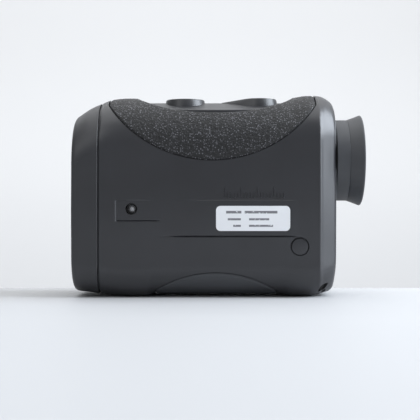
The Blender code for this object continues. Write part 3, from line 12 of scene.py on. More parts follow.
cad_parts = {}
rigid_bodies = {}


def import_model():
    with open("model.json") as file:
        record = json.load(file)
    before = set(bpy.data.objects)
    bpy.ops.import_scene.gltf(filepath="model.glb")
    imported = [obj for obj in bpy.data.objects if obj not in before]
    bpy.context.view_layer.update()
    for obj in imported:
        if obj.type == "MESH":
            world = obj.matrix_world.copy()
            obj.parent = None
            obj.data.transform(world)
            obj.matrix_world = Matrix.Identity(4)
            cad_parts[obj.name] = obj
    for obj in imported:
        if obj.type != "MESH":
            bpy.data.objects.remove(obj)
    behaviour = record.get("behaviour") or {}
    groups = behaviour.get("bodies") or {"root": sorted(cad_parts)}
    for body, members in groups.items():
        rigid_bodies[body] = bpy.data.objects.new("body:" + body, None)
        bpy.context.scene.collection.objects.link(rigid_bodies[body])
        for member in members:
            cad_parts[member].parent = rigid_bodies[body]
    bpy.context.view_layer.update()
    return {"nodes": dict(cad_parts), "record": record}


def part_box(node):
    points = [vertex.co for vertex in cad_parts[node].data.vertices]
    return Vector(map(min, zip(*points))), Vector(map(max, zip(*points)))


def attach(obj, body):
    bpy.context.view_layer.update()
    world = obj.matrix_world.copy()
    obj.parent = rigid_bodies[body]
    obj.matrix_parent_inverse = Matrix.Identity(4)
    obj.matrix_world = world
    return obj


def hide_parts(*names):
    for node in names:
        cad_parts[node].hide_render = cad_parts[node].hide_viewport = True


bl_info = {
    "name": "Laser rangefinder",
    "version": (1, 0, 0),
    "blender": (4, 5, 0),
    "location": "3D View > Sidebar > Rangefinder",
    "description": "Builds a pocket laser rangefinder piece by piece on its frame",
    "category": "Object",
}

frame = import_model()

# ---------------------------------------------------------------- form, in millimetres
MM = 0.001
FAR = 40.0                  # cutters reach this far past the case
GAP = 0.3
SIDE_BULGE = 0.6
SIDE_MARGIN = 0.12          # room between the plain side and the frame's own side, for raised detail
CASE_HALF = 21.0            # half width of the case where it is widest
CROWN_FLAT = 1.0
BOTTOM_CORNER = 11.0
WALL = 2.6
CASE_FRONT, CASE_REAR = -44.2, 43.7
BEZEL_FRONT, BEZEL_REAR = -54.5, -44.8
VIEW_Z, RECEIVER_Z = 51.5, 20.5
HINGE = (43.0, 0, 10.4)     # axis of the battery door
HINGE_BORE = 0.9
CASE_ROWS = (               # x, half width, top, bottom
    (-44.2, 21.0, 73.3, 1.0), (-41.5, 21.0, 74.4, 0.7), (-38.0, 21.0, 75.1, 0.3), (-34.0, 21.0, 75.3, 0.0),
    (-27.0, 21.0, 75.2, 0.0), (-24.5, 21.0, 75.1, 0.8), (0.0, 21.0, 74.9, 0.8), (23.75, 21.0, 75.2, 0.8),
    (28.0, 21.0, 75.5, 0.0), (34.0, 21.0, 76.3, 0.0), (37.0, 21.0, 76.2, 0.7), (38.63, 19.68, 76.0, 1.0),
    (41.7, 17.2, 74.5, 1.7), (43.0, 16.15, 73.3, 2.9), (43.7, 15.2, 71.8, 5.6),
)
BEZEL_ROWS = (
    (-54.5, 19.5, 66.7, 4.0), (-53.9, 20.1, 67.7, 2.7), (-52.6, 20.5, 68.7, 2.0), (-48.7, 20.8, 71.3, 1.6),
    (-44.8, 21.0, 73.1, 1.05),
)
TOP_GRIP = {"x": -2.5, "z": 97.2, "radius": 46.3, "ends": (-41.2, 36.2), "step": 0.31, "across": 94,
            "inset": 0.22, "middle": 38.0, "thickness": 0.75}
BOTTOM_GRIP = {"x": -1.2, "z": -31.0, "radius": 40.0, "ends": (-23.5, 21.5), "step": 0.7, "across": 44,
               "inset": 0.10, "middle": 30.0, "thickness": 0.85}
PANEL = {"x": -1.3, "length": 29.5, "width": 14.2, "top": 73.6, "radius": 28.0, "power": 2.5}
POWER_BUTTON = {"x": -12.8, "radius": 4.5, "top": 75.3}
MODE_BUTTON = {"x": 15.5, "radius": 5.2, "top": 75.5}
BUTTON_BASE = 70.3
LABEL = {"x": (-1.1, 26.1), "z": (24.7, 33.9), "corner": 1.6, "proud": 0.17, "thickness": 0.14}
LABEL_BARS = (              # height, thickness, and each bar's ends
    (31.6, 0.95, ((2.6, 8.2), (9.4, 21.4))), (29.0, 0.75, ((3.2, 8.0), (11.0, 18.4))),
    (26.6, 0.75, ((5.2, 8.0), (11.0, 19.8))),
)
MARK = {"x": 2.2, "z": 37.3, "length": 21.6, "height": 3.4}
FRONT_SCREW = (-32.2, 32.8, -15.7)          # x, z, and the y of the seat under the head
REAR_SCREW = (29.7, 18.9, -15.7)
BAND_Z = (22.8, 36.0)
POCKET_X, POCKET_Z = -38.1, 28.4
DETAIL_Z = (36.0, POCKET_Z, BAND_Z[0])      # heights of the thin lines on the sides


def length_of(name, description, default, low, high):
    return FloatProperty(name=name, description=description, default=default, min=low, max=high,
                         subtype="DISTANCE", unit="LENGTH")


def strength_of(name, description, default, high=50.0):
    return FloatProperty(name=name, description=description, default=default, min=0.0, max=high)


def colour_of(name, description, default):
    return FloatVectorProperty(name=name, description=description, default=default, size=3, min=0, max=1,
                               subtype="COLOR")


class RangefinderLook(bpy.types.PropertyGroup):
    """Sizes and colours of the rangefinder's surfaces."""
    pebble: length_of("Pebble size", "Pitch of the grip's pebbles", 0.00085, 0.0004, 0.004)
    pebble_height: length_of("Pebble height", "Height of the grip's pebbles", 0.00017, 0.0, 0.001)
    relief: length_of("Band height", "How far the band round the label stands out", 0.00017, 0.0, 0.0002)
    ticks: IntProperty(name="Scale marks", description="Number of raised marks above the label",
                       default=19, min=2, max=60)
    case_colour: colour_of("Case", "Colour of the moulded case", (0.0150, 0.0155, 0.0190))
    grip_colour: colour_of("Grip", "Colour of the pebbled grip", (0.017, 0.0168, 0.0185))
    label_colour: colour_of("Label", "Colour of the label film", (0.83, 0.84, 0.86))


class RangefinderStage(bpy.types.PropertyGroup):
    """The studio's lights and camera."""
    lens: FloatProperty(name="Focal length", description="Camera focal length in millimetres", default=91.0,
                        min=20.0, max=300.0)
    distance: length_of("Camera distance", "From the camera to the middle of the case", 0.410, 0.1, 3.0)
    height: length_of("Camera height", "Camera height over the floor", 0.0324, 0.0, 1.0)
    key: strength_of("Side light", "Radiance of the large light at the eyepiece end", 9.5)
    overhead: strength_of("Overhead light", "Radiance of the overhead light", 1.5)
    backdrop: strength_of("Backdrop light", "Radiance of the strip over the backdrop", 5.0)
    front: strength_of("Front light", "Radiance of the small light in front", 1.3)
    table_edge: length_of("Table edge", "Where the table top starts to round off", 0.031, 0.0, 1.0)
    surround: strength_of("Surround", "Strength of the even light from all round", 0.42, 10.0)


def look():
    return bpy.context.scene.rangefinder_look


# ---------------------------------------------------------------- curves and meshes
def smooth_curve(xs, ys):
    """A cubic through the points that never overshoots them, as a function of an array."""
    xs, ys = np.asarray(xs, float), np.asarray(ys, float)
    run = np.diff(xs)
    slope = np.diff(ys) / run
    tangent = np.zeros(len(xs))
    for i in range(1, len(xs) - 1):
        if slope[i - 1] * slope[i] > 0:
            before, after = 2 * run[i] + run[i - 1], run[i] + 2 * run[i - 1]
            tangent[i] = (before + after) / (before / slope[i - 1] + after / slope[i])
    tangent[0], tangent[-1] = slope[0], slope[-1]

    def value(x):
        x = np.clip(np.asarray(x, float), xs[0], xs[-1])
        i = np.clip(np.searchsorted(xs, x) - 1, 0, len(run) - 1)
        t = (x - xs[i]) / run[i]
        return ((1 + 2 * t) * (1 - t) ** 2 * ys[i] + t * (1 - t) ** 2 * run[i] * tangent[i]
                + t * t * (3 - 2 * t) * ys[i + 1] + t * t * (t - 1) * run[i] * tangent[i + 1])
    return value


def columns(rows):
    table = np.array(rows)
    return [smooth_curve(table[:, 0], table[:, i]) for i in (1, 2, 3)]


CASE_WIDTH, CASE_TOP, CASE_BOTTOM = columns(CASE_ROWS)
BEZEL_WIDTH, BEZEL_TOP, BEZEL_BOTTOM = columns(BEZEL_ROWS)


def ease(t):
    t = np.clip(t, 0.0, 1.0)
    return t * t * (3 - 2 * t)


def rise(value, edge, width):
    """0 before the edge and 1 after it, over this width."""
    return ease((np.asarray(value, float) - edge) / width + 0.5)


def side_rows():
    """Heights of the rows down the sides, closer together at the thin lines."""
    near = np.array([-0.75, -0.5, -0.35, -0.24, -0.16, -0.08, 0, 0.08, 0.16, 0.24, 0.35, 0.5, 0.75])
    z = np.sort(np.concatenate([np.arange(50, 19.9, -0.9), *[line + near for line in DETAIL_Z]]))[::-1]
    return z[np.concatenate([[True], np.diff(z) < -0.06])]


SIDE_ROWS = side_rows()


def half_ring(half, top, bottom, inset=0.0, corner=BOTTOM_CORNER, density=1.0):
    """(y, z) from the middle of the top down one side to the middle of the bottom."""
    width = half - SIDE_BULGE - inset
    top, bottom = top - inset, bottom + inset
    radius = half - SIDE_BULGE - CROWN_FLAT - inset
    low = max(corner - inset, 1.0)
    a = np.radians(np.linspace(90, 0, int(40 * density) + 1))
    upper = np.stack([width - radius + radius * np.cos(a), top - radius + radius * np.sin(a)], 1)
    high_z, low_z = top - radius, bottom + low
    if density >= 1:
        z = np.concatenate([np.linspace(high_z, 50, 8)[1:-1], SIDE_ROWS, np.linspace(20, low_z, 9)[1:-1]])
    else:
        z = np.linspace(high_z, low_z, 14)[1:-1]
    t = 2 * (z - low_z) / (high_z - low_z) - 1
    side = np.stack([width + SIDE_BULGE * (1 - t * t) ** 2, z], 1)
    a = np.radians(np.linspace(0, -90, int(18 * density) + 1))
    lower = np.stack([width - low + low * np.cos(a), bottom + low + low * np.sin(a)], 1)
    y = np.linspace(width - low, 0, int(6 * density) + 1)[1:]
    floor = np.stack([y, np.full(len(y), bottom)], 1)
    return np.concatenate([[[0.0, top]], upper, side, lower, floor])


CROWN_POINTS = 42           # how many of a full half ring's points lie over the crown


def full_ring(half):
    return np.concatenate([half, half[-2:0:-1] * (-1, 1)])


def in_space(x, ring):
    """A (y, z) ring placed at x."""
    return np.column_stack([np.full(len(ring), x), ring])


def case_ring(x, inset=0.0, density=1.0):
    """Half of the case's plain outline at x."""
    return half_ring(CASE_WIDTH(x) - SIDE_MARGIN, CASE_TOP(x), CASE_BOTTOM(x), inset, density=density)


def bezel_ring(x, inset=0.0, density=1.0):
    """The bezel's whole outline at x."""
    return in_space(x, full_ring(half_ring(BEZEL_WIDTH(x), BEZEL_TOP(x), BEZEL_BOTTOM(x), inset, density=density)))


def linked(name, data):
    """A new object in the scene that holds this data."""
    obj = bpy.data.objects.new(name, data)
    bpy.context.scene.collection.objects.link(obj)
    return obj


def grid(rows, columns):
    """Quads of a grid whose points run along each row in turn."""
    return [(i * columns + j, i * columns + j + 1, (i + 1) * columns + j + 1, (i + 1) * columns + j)
            for i in range(rows - 1) for j in range(columns - 1)]


def new_object(name, points, faces, smooth=35.0):
    """A mesh object from points in millimetres, its faces turned to point out."""
    mesh = bpy.data.meshes.new(name)
    mesh.from_pydata((np.asarray(points, float) * MM).tolist(), [], faces)
    obj = linked(name, mesh)
    outward(obj)
    shade(obj, smooth)
    return obj


def outward(obj, merge=1e-7):
    bm = bmesh.new()
    bm.from_mesh(obj.data)
    bmesh.ops.remove_doubles(bm, verts=bm.verts, dist=merge)
    bmesh.ops.recalc_face_normals(bm, faces=bm.faces)
    if bm.calc_volume(signed=True) < 0:
        bmesh.ops.reverse_faces(bm, faces=bm.faces)
    bm.to_mesh(obj.data)
    bm.free()


def shade(obj, angle):
    obj.data.shade_smooth()
    obj.data.set_sharp_from_angle(angle=math.radians(angle))


def loft(name, rings, smooth=35.0):
    """A closed solid through rings of equal length."""
    count = len(rings[0])
    points = np.concatenate(rings)
    faces = []
    for row in range(len(rings) - 1):
        a = row * count
        faces += [(a + i, a + (i + 1) % count, a + count + (i + 1) % count, a + count + i) for i in range(count)]
    faces.append(tuple(range(count)))
    faces.append(tuple(range(len(points) - 1, len(points) - 1 - count, -1)))
    return new_object(name, points, faces, smooth)


def case_form(name, inset, density=0.6, stretch=0.0):
    """The case's outer form moved in by inset, longer by stretch at both ends."""
    xs = np.unique(np.concatenate([np.arange(CASE_FRONT, CASE_REAR, 1.5), [CASE_REAR]]))
    rings = [in_space(x, full_ring(case_ring(x, inset, density=density))) for x in xs]
    if stretch:
        rings = [rings[0] - (stretch, 0, 0)] + rings + [rings[-1] + (stretch, 0, 0)]
    return loft(name, rings)


AXES = {"X": Matrix.Identity(3), "Z": Matrix(((0, 0, 1), (0, 1, 0), (1, 0, 0))),
        "Y": Matrix(((0, 1, 0), (1, 0, 0), (0, 0, 1)))}


def lathe(name, profile, centre, axis="X", segments=96, smooth=35.0):
    """Turns a closed (along, radius) profile about an axis through centre."""
    profile = np.array(profile, float)
    turn = np.linspace(0, 2 * np.pi, segments, endpoint=False)
    rings = []
    for along, radius in profile:
        ring = np.column_stack([np.full(segments, along), radius * np.cos(turn), radius * np.sin(turn)])
        rings.append(ring @ np.array(AXES[axis]).T + centre)
    count = len(rings)
    faces = []
    for k in range(count):
        a, b = k * segments, (k + 1) % count * segments
        if profile[k][1] < 1e-6 and profile[(k + 1) % count][1] < 1e-6:
            continue
        faces += [(a + i, a + (i + 1) % segments, b + (i + 1) % segments, b + i) for i in range(segments)]
    return new_object(name, np.concatenate(rings), faces, smooth)


def rounded(points, radius, steps=4):
    """A closed outline with its corners rounded. radius is one number or one for each corner."""
    points = [np.array(p, float) for p in points]
    radii = radius if hasattr(radius, "__len__") else [radius] * len(points)
    out = []
    for i, point in enumerate(points):
        before, after = points[i - 1] - point, points[(i + 1) % len(points)] - point
        size = min(radii[i], np.linalg.norm(before) * 0.45, np.linalg.norm(after) * 0.45)
        if size < 1e-6:
            out.append(point)
            continue
        start = point + before / np.linalg.norm(before) * size
        end = point + after / np.linalg.norm(after) * size
        for t in np.linspace(0, 1, steps + 1):
            out.append((1 - t) ** 2 * start + 2 * t * (1 - t) * point + t * t * end)
    return out


def prism(name, outline, plane, low, high, smooth=35.0):
    """A straight solid from a closed outline in a plane, XY, XZ or YZ."""
    place = {"XY": (0, 1, 2), "XZ": (0, 2, 1), "YZ": (1, 2, 0)}[plane]
    rings = []
    for level in (low, high):
        ring = np.zeros((len(outline), 3))
        ring[:, place[0]], ring[:, place[1]], ring[:, place[2]] = (*np.array(outline, float).T, level)
        rings.append(ring)
    return loft(name, rings, smooth)


def block(name, low, high):
    outline = [(low[0], low[1]), (high[0], low[1]), (high[0], high[1]), (low[0], high[1])]
    return prism(name, outline, "XY", low[2], high[2])


def rod(name, centre, axis, start, end, radius, segments=64):
    return lathe(name, [(start, 0), (start, radius), (end, radius), (end, 0)], centre, axis, segments)


def combine(obj, steps):
    """Adds or cuts other solids in turn, removes them, and leaves a plain mesh."""
    for operation, other in steps:
        modifier = obj.modifiers.new(other.name, "BOOLEAN")
        modifier.operation = operation
        modifier.object = other
        modifier.solver = "MANIFOLD"
    settle(obj)
    for _, other in steps:
        if other.name in bpy.data.objects:
            bpy.data.objects.remove(other)
    return obj


def settle(obj):
    """Replaces the object's mesh with its evaluated one and removes its modifiers."""
    bpy.context.view_layer.update()
    graph = bpy.context.evaluated_depsgraph_get()
    mesh = bpy.data.meshes.new_from_object(obj.evaluated_get(graph))
    obj.modifiers.clear()
    old, obj.data = obj.data, mesh
    bpy.data.meshes.remove(old)
    mesh.name = obj.name


def cut(obj, *others):
    return combine(obj, [("DIFFERENCE", other) for other in others])


def copy_of(obj, name):
    twin = obj.copy()
    twin.data = obj.data.copy()
    twin.name = name
    bpy.context.scene.collection.objects.link(twin)
    return twin


def finish(obj, body, slot, *replaced, smooth):
    """Gives a piece its shading angle, its finish, its body and the nodes it stands for."""
    shade(obj, smooth)
    obj.data.materials.clear()
    obj.data.materials.append(bpy.data.materials[slot])
    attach(obj, body)
    if replaced:
        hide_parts(*replaced)
    return obj


# ---------------------------------------------------------------- shader arithmetic
class Value:
    """A shader socket that takes part in Python arithmetic."""

    def __init__(self, maker, socket):
        self.maker, self.socket = maker, socket

    def math(self, operation, first, second=0.0):
        return self.maker.node("ShaderNodeMath", {0: first, 1: second}, operation=operation)

    def __add__(self, other):
        return self.math("ADD", self, other)

    def __mul__(self, other):
        return self.math("MULTIPLY", self, other)

    def __sub__(self, other):
        return self.math("SUBTRACT", self, other)

    def __rsub__(self, other):
        return self.math("SUBTRACT", other, self)

    def __abs__(self):
        return self.math("ABSOLUTE", self)

    __radd__ = __add__
    __rmul__ = __mul__


class Finish:
    """One material and the nodes in it."""

    def __init__(self, name):
        self.material = bpy.data.materials.new(name)
        self.material.use_nodes = True
        self.tree = self.material.node_tree
        self.tree.nodes.clear()
        self.place = self.node("ShaderNodeTexCoord", output="Object")

    def node(self, kind, sockets=None, output=0, stops=None, **settings):
        """Adds a node: its settings first, then the values or links of its sockets."""
        node = self.tree.nodes.new(kind)
        for key, value in settings.items():
            setattr(node, key, value)
        if stops:
            while len(node.color_ramp.elements) < len(stops):
                node.color_ramp.elements.new(1.0)
            for element, (position, colour) in zip(node.color_ramp.elements, stops):
                element.position, element.color = position, (*colour, 1.0)
        for key, value in (sockets or {}).items():
            if isinstance(value, Value):
                self.tree.links.new(value.socket, node.inputs[key])
            else:
                node.inputs[key].default_value = value
        return Value(self, node.outputs[output])

    def noise(self, size, detail=2.0, roughness=0.5):
        """Noise whose features are this big, in millimetres."""
        return self.node("ShaderNodeTexNoise", {"Vector": self.place, "Scale": 1000 / size,
                                                "Detail": detail, "Roughness": roughness})

    def cells(self, size, feature="F1", output="Distance", spread=1.0):
        """Cells this far apart, in millimetres."""
        return self.node("ShaderNodeTexVoronoi", {"Vector": self.place, "Scale": 1000 / size,
                                                  "Randomness": spread}, output, feature=feature)

    def stripes(self, scale, direction, distortion=0.0):
        return self.node("ShaderNodeTexWave", {"Vector": self.place, "Scale": scale, "Distortion": distortion},
                         bands_direction=direction)

    def axis(self, index):
        """One coordinate, in millimetres."""
        return self.node("ShaderNodeSeparateXYZ", {0: self.place}, index) * 1000.0

    def between(self, value, low, high):
        """0 at low and 1 at high, smoothly."""
        return self.node("ShaderNodeMapRange", {"Value": value, "From Min": low, "From Max": high},
                         interpolation_type="SMOOTHSTEP")

    def mix(self, factor, first, second):
        """Two colours mixed by a factor."""
        node = self.tree.nodes.new("ShaderNodeMix")
        node.data_type = "RGBA"
        for socket, value in ((0, factor), (6, first), (7, second)):
            if isinstance(value, Value):
                self.tree.links.new(value.socket, node.inputs[socket])
            elif socket:
                node.inputs[socket].default_value = (*value, 1.0)
            else:
                node.inputs[socket].default_value = value
        return Value(self, node.outputs[2])

    def bump(self, height, distance, strength=1.0):
        """A normal from a height map whose full range is this deep, in millimetres."""
        return self.node("ShaderNodeBump", {"Height": height, "Distance": distance * MM, "Strength": strength})

    def surface(self, colour, roughness, normal=None, **constants):
        """Ends the material in one Principled shader. Constants are set on its own sockets."""
        sockets = {"Base Color": colour if isinstance(colour, Value) else (*colour, 1.0),
                   "Roughness": roughness}
        if normal:
            sockets["Normal"] = normal
        sockets.update({key.replace("_", " "): value for key, value in constants.items()})
        shader = self.node("ShaderNodeBsdfPrincipled", sockets)
        out = self.tree.nodes.new("ShaderNodeOutputMaterial")
        self.tree.links.new(shader.socket, out.inputs["Surface"])
        return self.material


def scaled(colour, factor):
    return tuple(min(1.0, channel * factor) for channel in colour)


# ---------------------------------------------------------------- finishes
def moulded(name, colour, roughness, grain=0.28, depth=0.012):
    """Moulded polymer: fine spark-eroded grain, faint flow clouding, handling sheen and a few dust specks."""
    f = Finish(name)
    fine = f.noise(grain, 3.0, 0.6)
    cloud = f.noise(14.0, 3.0)
    sheen = f.noise(38.0, 2.0)
    dust = f.between(f.noise(0.9, 4.0, 0.7), 0.70, 0.78) * f.between(f.noise(9.0), 0.45, 0.7)
    base = f.mix(f.between(cloud, 0.3, 0.7), scaled(colour, 0.93), scaled(colour, 1.08))
    base = f.mix(dust * 0.35, base, (0.16, 0.16, 0.165))
    rough = f.between(sheen, 0.3, 0.7) * 0.07 + fine * 0.10 + (roughness - 0.08) + dust * 0.2
    return f.surface(base, rough, f.bump(fine, depth, 0.6), Specular_IOR_Level=0.72)


def pebbled_rubber():
    """Black rubber with crisp light glints painted on its pebbles: painted highlights in the base colour."""
    f = Finish("grip_rubber")
    colour = tuple(look().grip_colour)
    speck = f.cells(0.66)
    pick = f.node("ShaderNodeSeparateColor", {0: f.cells(0.66, output="Color")}, 0)
    worn = f.between(f.noise(7.0, 3.0), 0.45, 0.75)
    # light: the pebbles' glints, painted highlights laid into the base colour (they also lower the roughness)
    light = f.between(pick, 0.1, 0.85) * (1 - f.between(speck, 0.22, 0.45))
    base = f.mix(light, scaled(colour, 0.35), scaled(colour, 7.5))
    base = f.mix(worn * 0.2, base, scaled(colour, 2.0))
    rough = 0.50 + f.noise(0.4, 2.0) * 0.15 - light * 0.15
    height = (1 - speck) * 0.8 + f.noise(0.2, 3.0, 0.6) * 0.5
    return f.surface(base, rough, f.bump(height, 0.14, 1.0), Specular_IOR_Level=0.5)


def soft_rubber(name, colour, roughness):
    """Plain rubber: matt, slightly uneven, with lighter bloom in patches."""
    f = Finish(name)
    bloom = f.between(f.noise(8.0, 4.0, 0.6), 0.4, 0.8)
    fine = f.noise(0.18, 2.0, 0.6)
    base = f.mix(bloom * 0.5, colour, scaled(colour, 1.35))
    rough = bloom * 0.08 + fine * 0.08 + roughness
    return f.surface(base, rough, f.bump(fine, 0.01, 0.5), Specular_IOR_Level=0.75)


def label_film():
    """White film with three rows of plain printed bars."""
    f = Finish("label_film")
    x, z = f.axis(0), f.axis(2)
    ink = None
    for height, thick, bars in LABEL_BARS:
        row = 1 - f.between(abs(z - height), thick / 2 - 0.1, thick / 2 + 0.1)
        for low, high in bars:
            bar = row * f.between(x, low - 0.1, low + 0.1) * (1 - f.between(x, high - 0.1, high + 0.1))
            ink = bar if ink is None else ink + bar
    broken = f.between(f.noise(0.8, 2.0), 0.28, 0.42)
    scuff = f.between(f.noise(3.0, 5.0, 0.7), 0.6, 0.8)
    paper = f.mix(scuff * 0.3, tuple(look().label_colour), (0.70, 0.71, 0.73))
    base = f.mix(ink * broken * 0.9, paper, (0.12, 0.12, 0.135))
    return f.surface(base, 0.38 + scuff * 0.2, f.bump(f.noise(1.6), 0.01, 0.3), Specular_IOR_Level=0.5)


def bare_metal(name, colour, roughness, streak=0.3):
    f = Finish(name)
    brushed = f.noise(streak, 4.0, 0.7)
    stain = f.between(f.noise(2.5, 4.0), 0.5, 0.8)
    base = f.mix(stain * 0.5, colour, scaled(colour, 0.6))
    return f.surface(base, brushed * 0.18 + stain * 0.15 + roughness, f.bump(brushed, 0.006, 0.5), Metallic=1.0)


def anodised():
    f = Finish("black_aluminium")
    fine = f.noise(0.12, 2.0)
    worn = f.between(f.noise(2.2, 5.0, 0.7), 0.62, 0.8)
    turned = f.stripes(520.0, "X", 0.3)
    base = f.mix(worn * 0.4, (0.012, 0.012, 0.014), (0.07, 0.07, 0.075))
    return f.surface(base, 0.38 + fine * 0.15 - worn * 0.1, f.bump(turned * 0.6 + fine * 0.4, 0.01, 0.6),
                     Specular_IOR_Level=0.6)


def coated_lens():
    """Dark coated glass: clear, with a green to violet bloom that drifts across the coating."""
    f = Finish("coated_glass")
    green, blue, violet = (0.30, 0.62, 0.50), (0.36, 0.42, 0.70), (0.62, 0.40, 0.62)
    tint = f.node("ShaderNodeValToRGB", {0: f.noise(9.0, 1.5)},
                  stops=((0.0, green), (0.45, blue), (1.0, violet)))
    smear = f.between(f.noise(5.0, 4.0, 0.6), 0.5, 0.8)
    return f.surface(tint, smear * 0.05 + 0.02, f.bump(f.noise(9.0), 0.002, 0.2), Transmission_Weight=0.75,
                     IOR=1.5, Coat_Weight=1.0, Coat_Roughness=0.02, Coat_IOR=1.7)


def circuit_board():
    f = Finish("circuit_board")
    trace = f.cells(2.4, "DISTANCE_TO_EDGE", spread=0.75)
    line = 1 - f.between(trace, 0.02, 0.05)
    pad = 1 - f.between(f.cells(3.1, spread=0.6), 0.10, 0.14)
    weave = f.noise(0.3, 2.0)
    base = f.mix(line * 0.6, (0.010, 0.085, 0.035), (0.03, 0.17, 0.07))
    base = f.mix(pad, base, (0.62, 0.50, 0.22))
    return f.surface(base, 0.34 + weave * 0.15 - pad * 0.08, f.bump(line + pad * 1.5 + weave * 0.3, 0.03, 0.8),
                     Specular_IOR_Level=0.5)


def moulded_epoxy():
    f = Finish("black_epoxy")
    speck = f.noise(0.12, 3.0, 0.7)
    haze = f.between(f.noise(1.8, 3.0), 0.4, 0.8)
    return f.surface(f.mix(haze * 0.5, (0.015, 0.015, 0.016), (0.045, 0.045, 0.045)), 0.5 + speck * 0.2,
                     f.bump(speck, 0.01, 0.8))


def wound_copper():
    f = Finish("copper")
    winding = f.stripes(420.0, "Z", 0.4)
    dull = f.between(f.noise(1.5, 4.0), 0.4, 0.8)
    base = f.mix(dull * 0.6, (0.72, 0.30, 0.16), (0.32, 0.12, 0.07))
    return f.surface(base, 0.28 + dull * 0.2, f.bump(winding, 0.08, 0.9), Metallic=1.0)


def flexible_film():
    f = Finish("polyimide")
    tracks = f.stripes(160.0, "X")
    mottle = f.noise(2.0, 3.0)
    base = f.mix(f.between(tracks, 0.55, 0.75), (0.42, 0.14, 0.012), (0.55, 0.26, 0.06))
    return f.surface(f.mix(mottle * 0.3, base, (0.25, 0.08, 0.01)), 0.28 + mottle * 0.15,
                     f.bump(tracks, 0.02, 0.6))


def battery_sleeve():
    """Shrink sleeve in two plain colours with a fine seam."""
    f = Finish("battery_sleeve")
    x = f.axis(0)
    wrinkle = f.noise(2.6, 4.0, 0.6)
    band = f.between(x, 33.6, 33.9)
    base = f.mix(band, (0.025, 0.05, 0.11), (0.55, 0.56, 0.57))
    scuff = f.between(f.noise(1.2, 5.0, 0.7), 0.62, 0.8)
    return f.surface(f.mix(scuff * 0.4, base, (0.3, 0.3, 0.32)), 0.25 + wrinkle * 0.15 + scuff * 0.2,
                     f.bump(wrinkle, 0.04, 0.5), Coat_Weight=0.3)


def make_finishes():
    colour = tuple(look().case_colour)
    return {
        "case_polymer": moulded("case_polymer", colour, 0.36),
        "bezel_polymer": moulded("bezel_polymer", scaled(colour, 1.02), 0.42, 0.22, 0.008),
        "grip_rubber": pebbled_rubber(),
        "smooth_rubber": soft_rubber("smooth_rubber", (0.029, 0.031, 0.036), 0.46),
        "button_rubber": soft_rubber("button_rubber", (0.030, 0.029, 0.032), 0.24),
        "label_film": label_film(),
        "steel": bare_metal("steel", (0.62, 0.62, 0.63), 0.24),
        "black_aluminium": anodised(),
        "coated_glass": coated_lens(),
        "circuit_board": circuit_board(),
        "black_epoxy": moulded_epoxy(),
        "copper": wound_copper(),
        "gold_plate": bare_metal("gold_plate", (0.83, 0.61, 0.25), 0.22),
        "polyimide": flexible_film(),
        "battery_sleeve": battery_sleeve(),
        "nylon": moulded("nylon", (0.055, 0.055, 0.058), 0.5, 0.5, 0.02),
    }


# ---------------------------------------------------------------- housing
def groove(z, at, half, depth):
    """A narrow round-bottomed groove along the side."""
    return -depth * np.exp(-((z - at) / half) ** 2)


def side_relief(x, z, left):
    """How far the side stands out from its plain form, in millimetres."""
    height = look().relief / MM * (1.0 if left else 0.6)
    along = rise(x, -12, 14) * (1 - rise(x, 28, 3))
    out = height * rise(z, BAND_Z[0], 0.3) * (1 - rise(z, BAND_Z[1], 0.36)) * along
    out = out + groove(z, BAND_Z[0] - 0.1, 0.17, 0.42) * rise(x, -18, 9) * (1 - rise(x, 28, 5))
    if left:
        inside = rise(z, POCKET_Z, 0.4) * (1 - rise(z, 36.0, 0.5)) * (1 - rise(x, -30.0, 14.0))
        out = out - 0.36 * inside * rise(x, POCKET_X + 0.1, 0.8)
        out = out + groove(z, POCKET_Z, 0.17, 0.45) * rise(x, POCKET_X + 0.3, 0.8) * (1 - rise(x, -21.8, 1.6))
    return out


def housing_form():
    """The full case with the raised and sunk areas of its sides."""
    xs = np.unique(np.round(np.concatenate([
        np.arange(CASE_FRONT, CASE_REAR, 0.7), [CASE_REAR], POCKET_X + np.arange(-0.45, 0.75, 0.1),
        np.arange(36.4, 43.6, 0.35)]), 4))
    rings = []
    for x in xs:
        half = case_ring(x)
        right, left = half.copy(), half.copy()
        flat = (half[:, 1] < 52) & (half[:, 1] > 14)
        right[flat, 0] += side_relief(x, half[flat, 1], False)
        left[flat, 0] += side_relief(x, half[flat, 1], True)
        rings.append(in_space(x, np.concatenate([right, left[-2:0:-1] * (-1, 1)])))
    # The front and rear faces meet the sides in a small round.
    for end, way in ((0, 1), (-1, -1)):
        edge = rings[end]
        middle = np.array([edge[0][0], 0.0, 38.0])
        small = middle + (edge - middle) * (1, 0.993, 0.996)
        rings[end] = edge + (way * 0.16, 0, 0)
        rings = [small] + rings if end == 0 else rings + [small]
    return loft("case", rings)


def hollow():
    """The room inside the case, open at the front and narrower behind."""
    half, corner = CASE_HALF - WALL, BOTTOM_CORNER - WALL
    rows = [(x, half, CASE_TOP(x) - 5.6, CASE_BOTTOM(x) + WALL + 0.3, corner)
            for x in (-41.5, -38.0, -34.0, -24.5, 0.0, 23.75, 28.0)]
    rows = [(CASE_FRONT - 5.0, *rows[0][1:]), *rows, (36.0, half, 70.6, 8.0, corner), (41.7, 15.0, 68.9, 8.0, 6.0)]
    return loft("hollow", [in_space(x, full_ring(half_ring(half, top, low, corner=corner, density=0.5)))
                           for x, half, top, low, corner in rows])


def grip_outline(grip, grow, far):
    """A grip's side view: its circle's arc, upright ends, closed at height far."""
    low, high = grip["ends"][0] - grow, grip["ends"][1] + grow
    sign = -1 if far > 0 else 1
    radius = grip["radius"] + grow
    x = np.linspace(low, high, 97)
    z = grip["z"] + sign * np.sqrt(radius ** 2 - (x - grip["x"]) ** 2)
    return [(low, far)] + list(zip(x, z)) + [(high, far)]


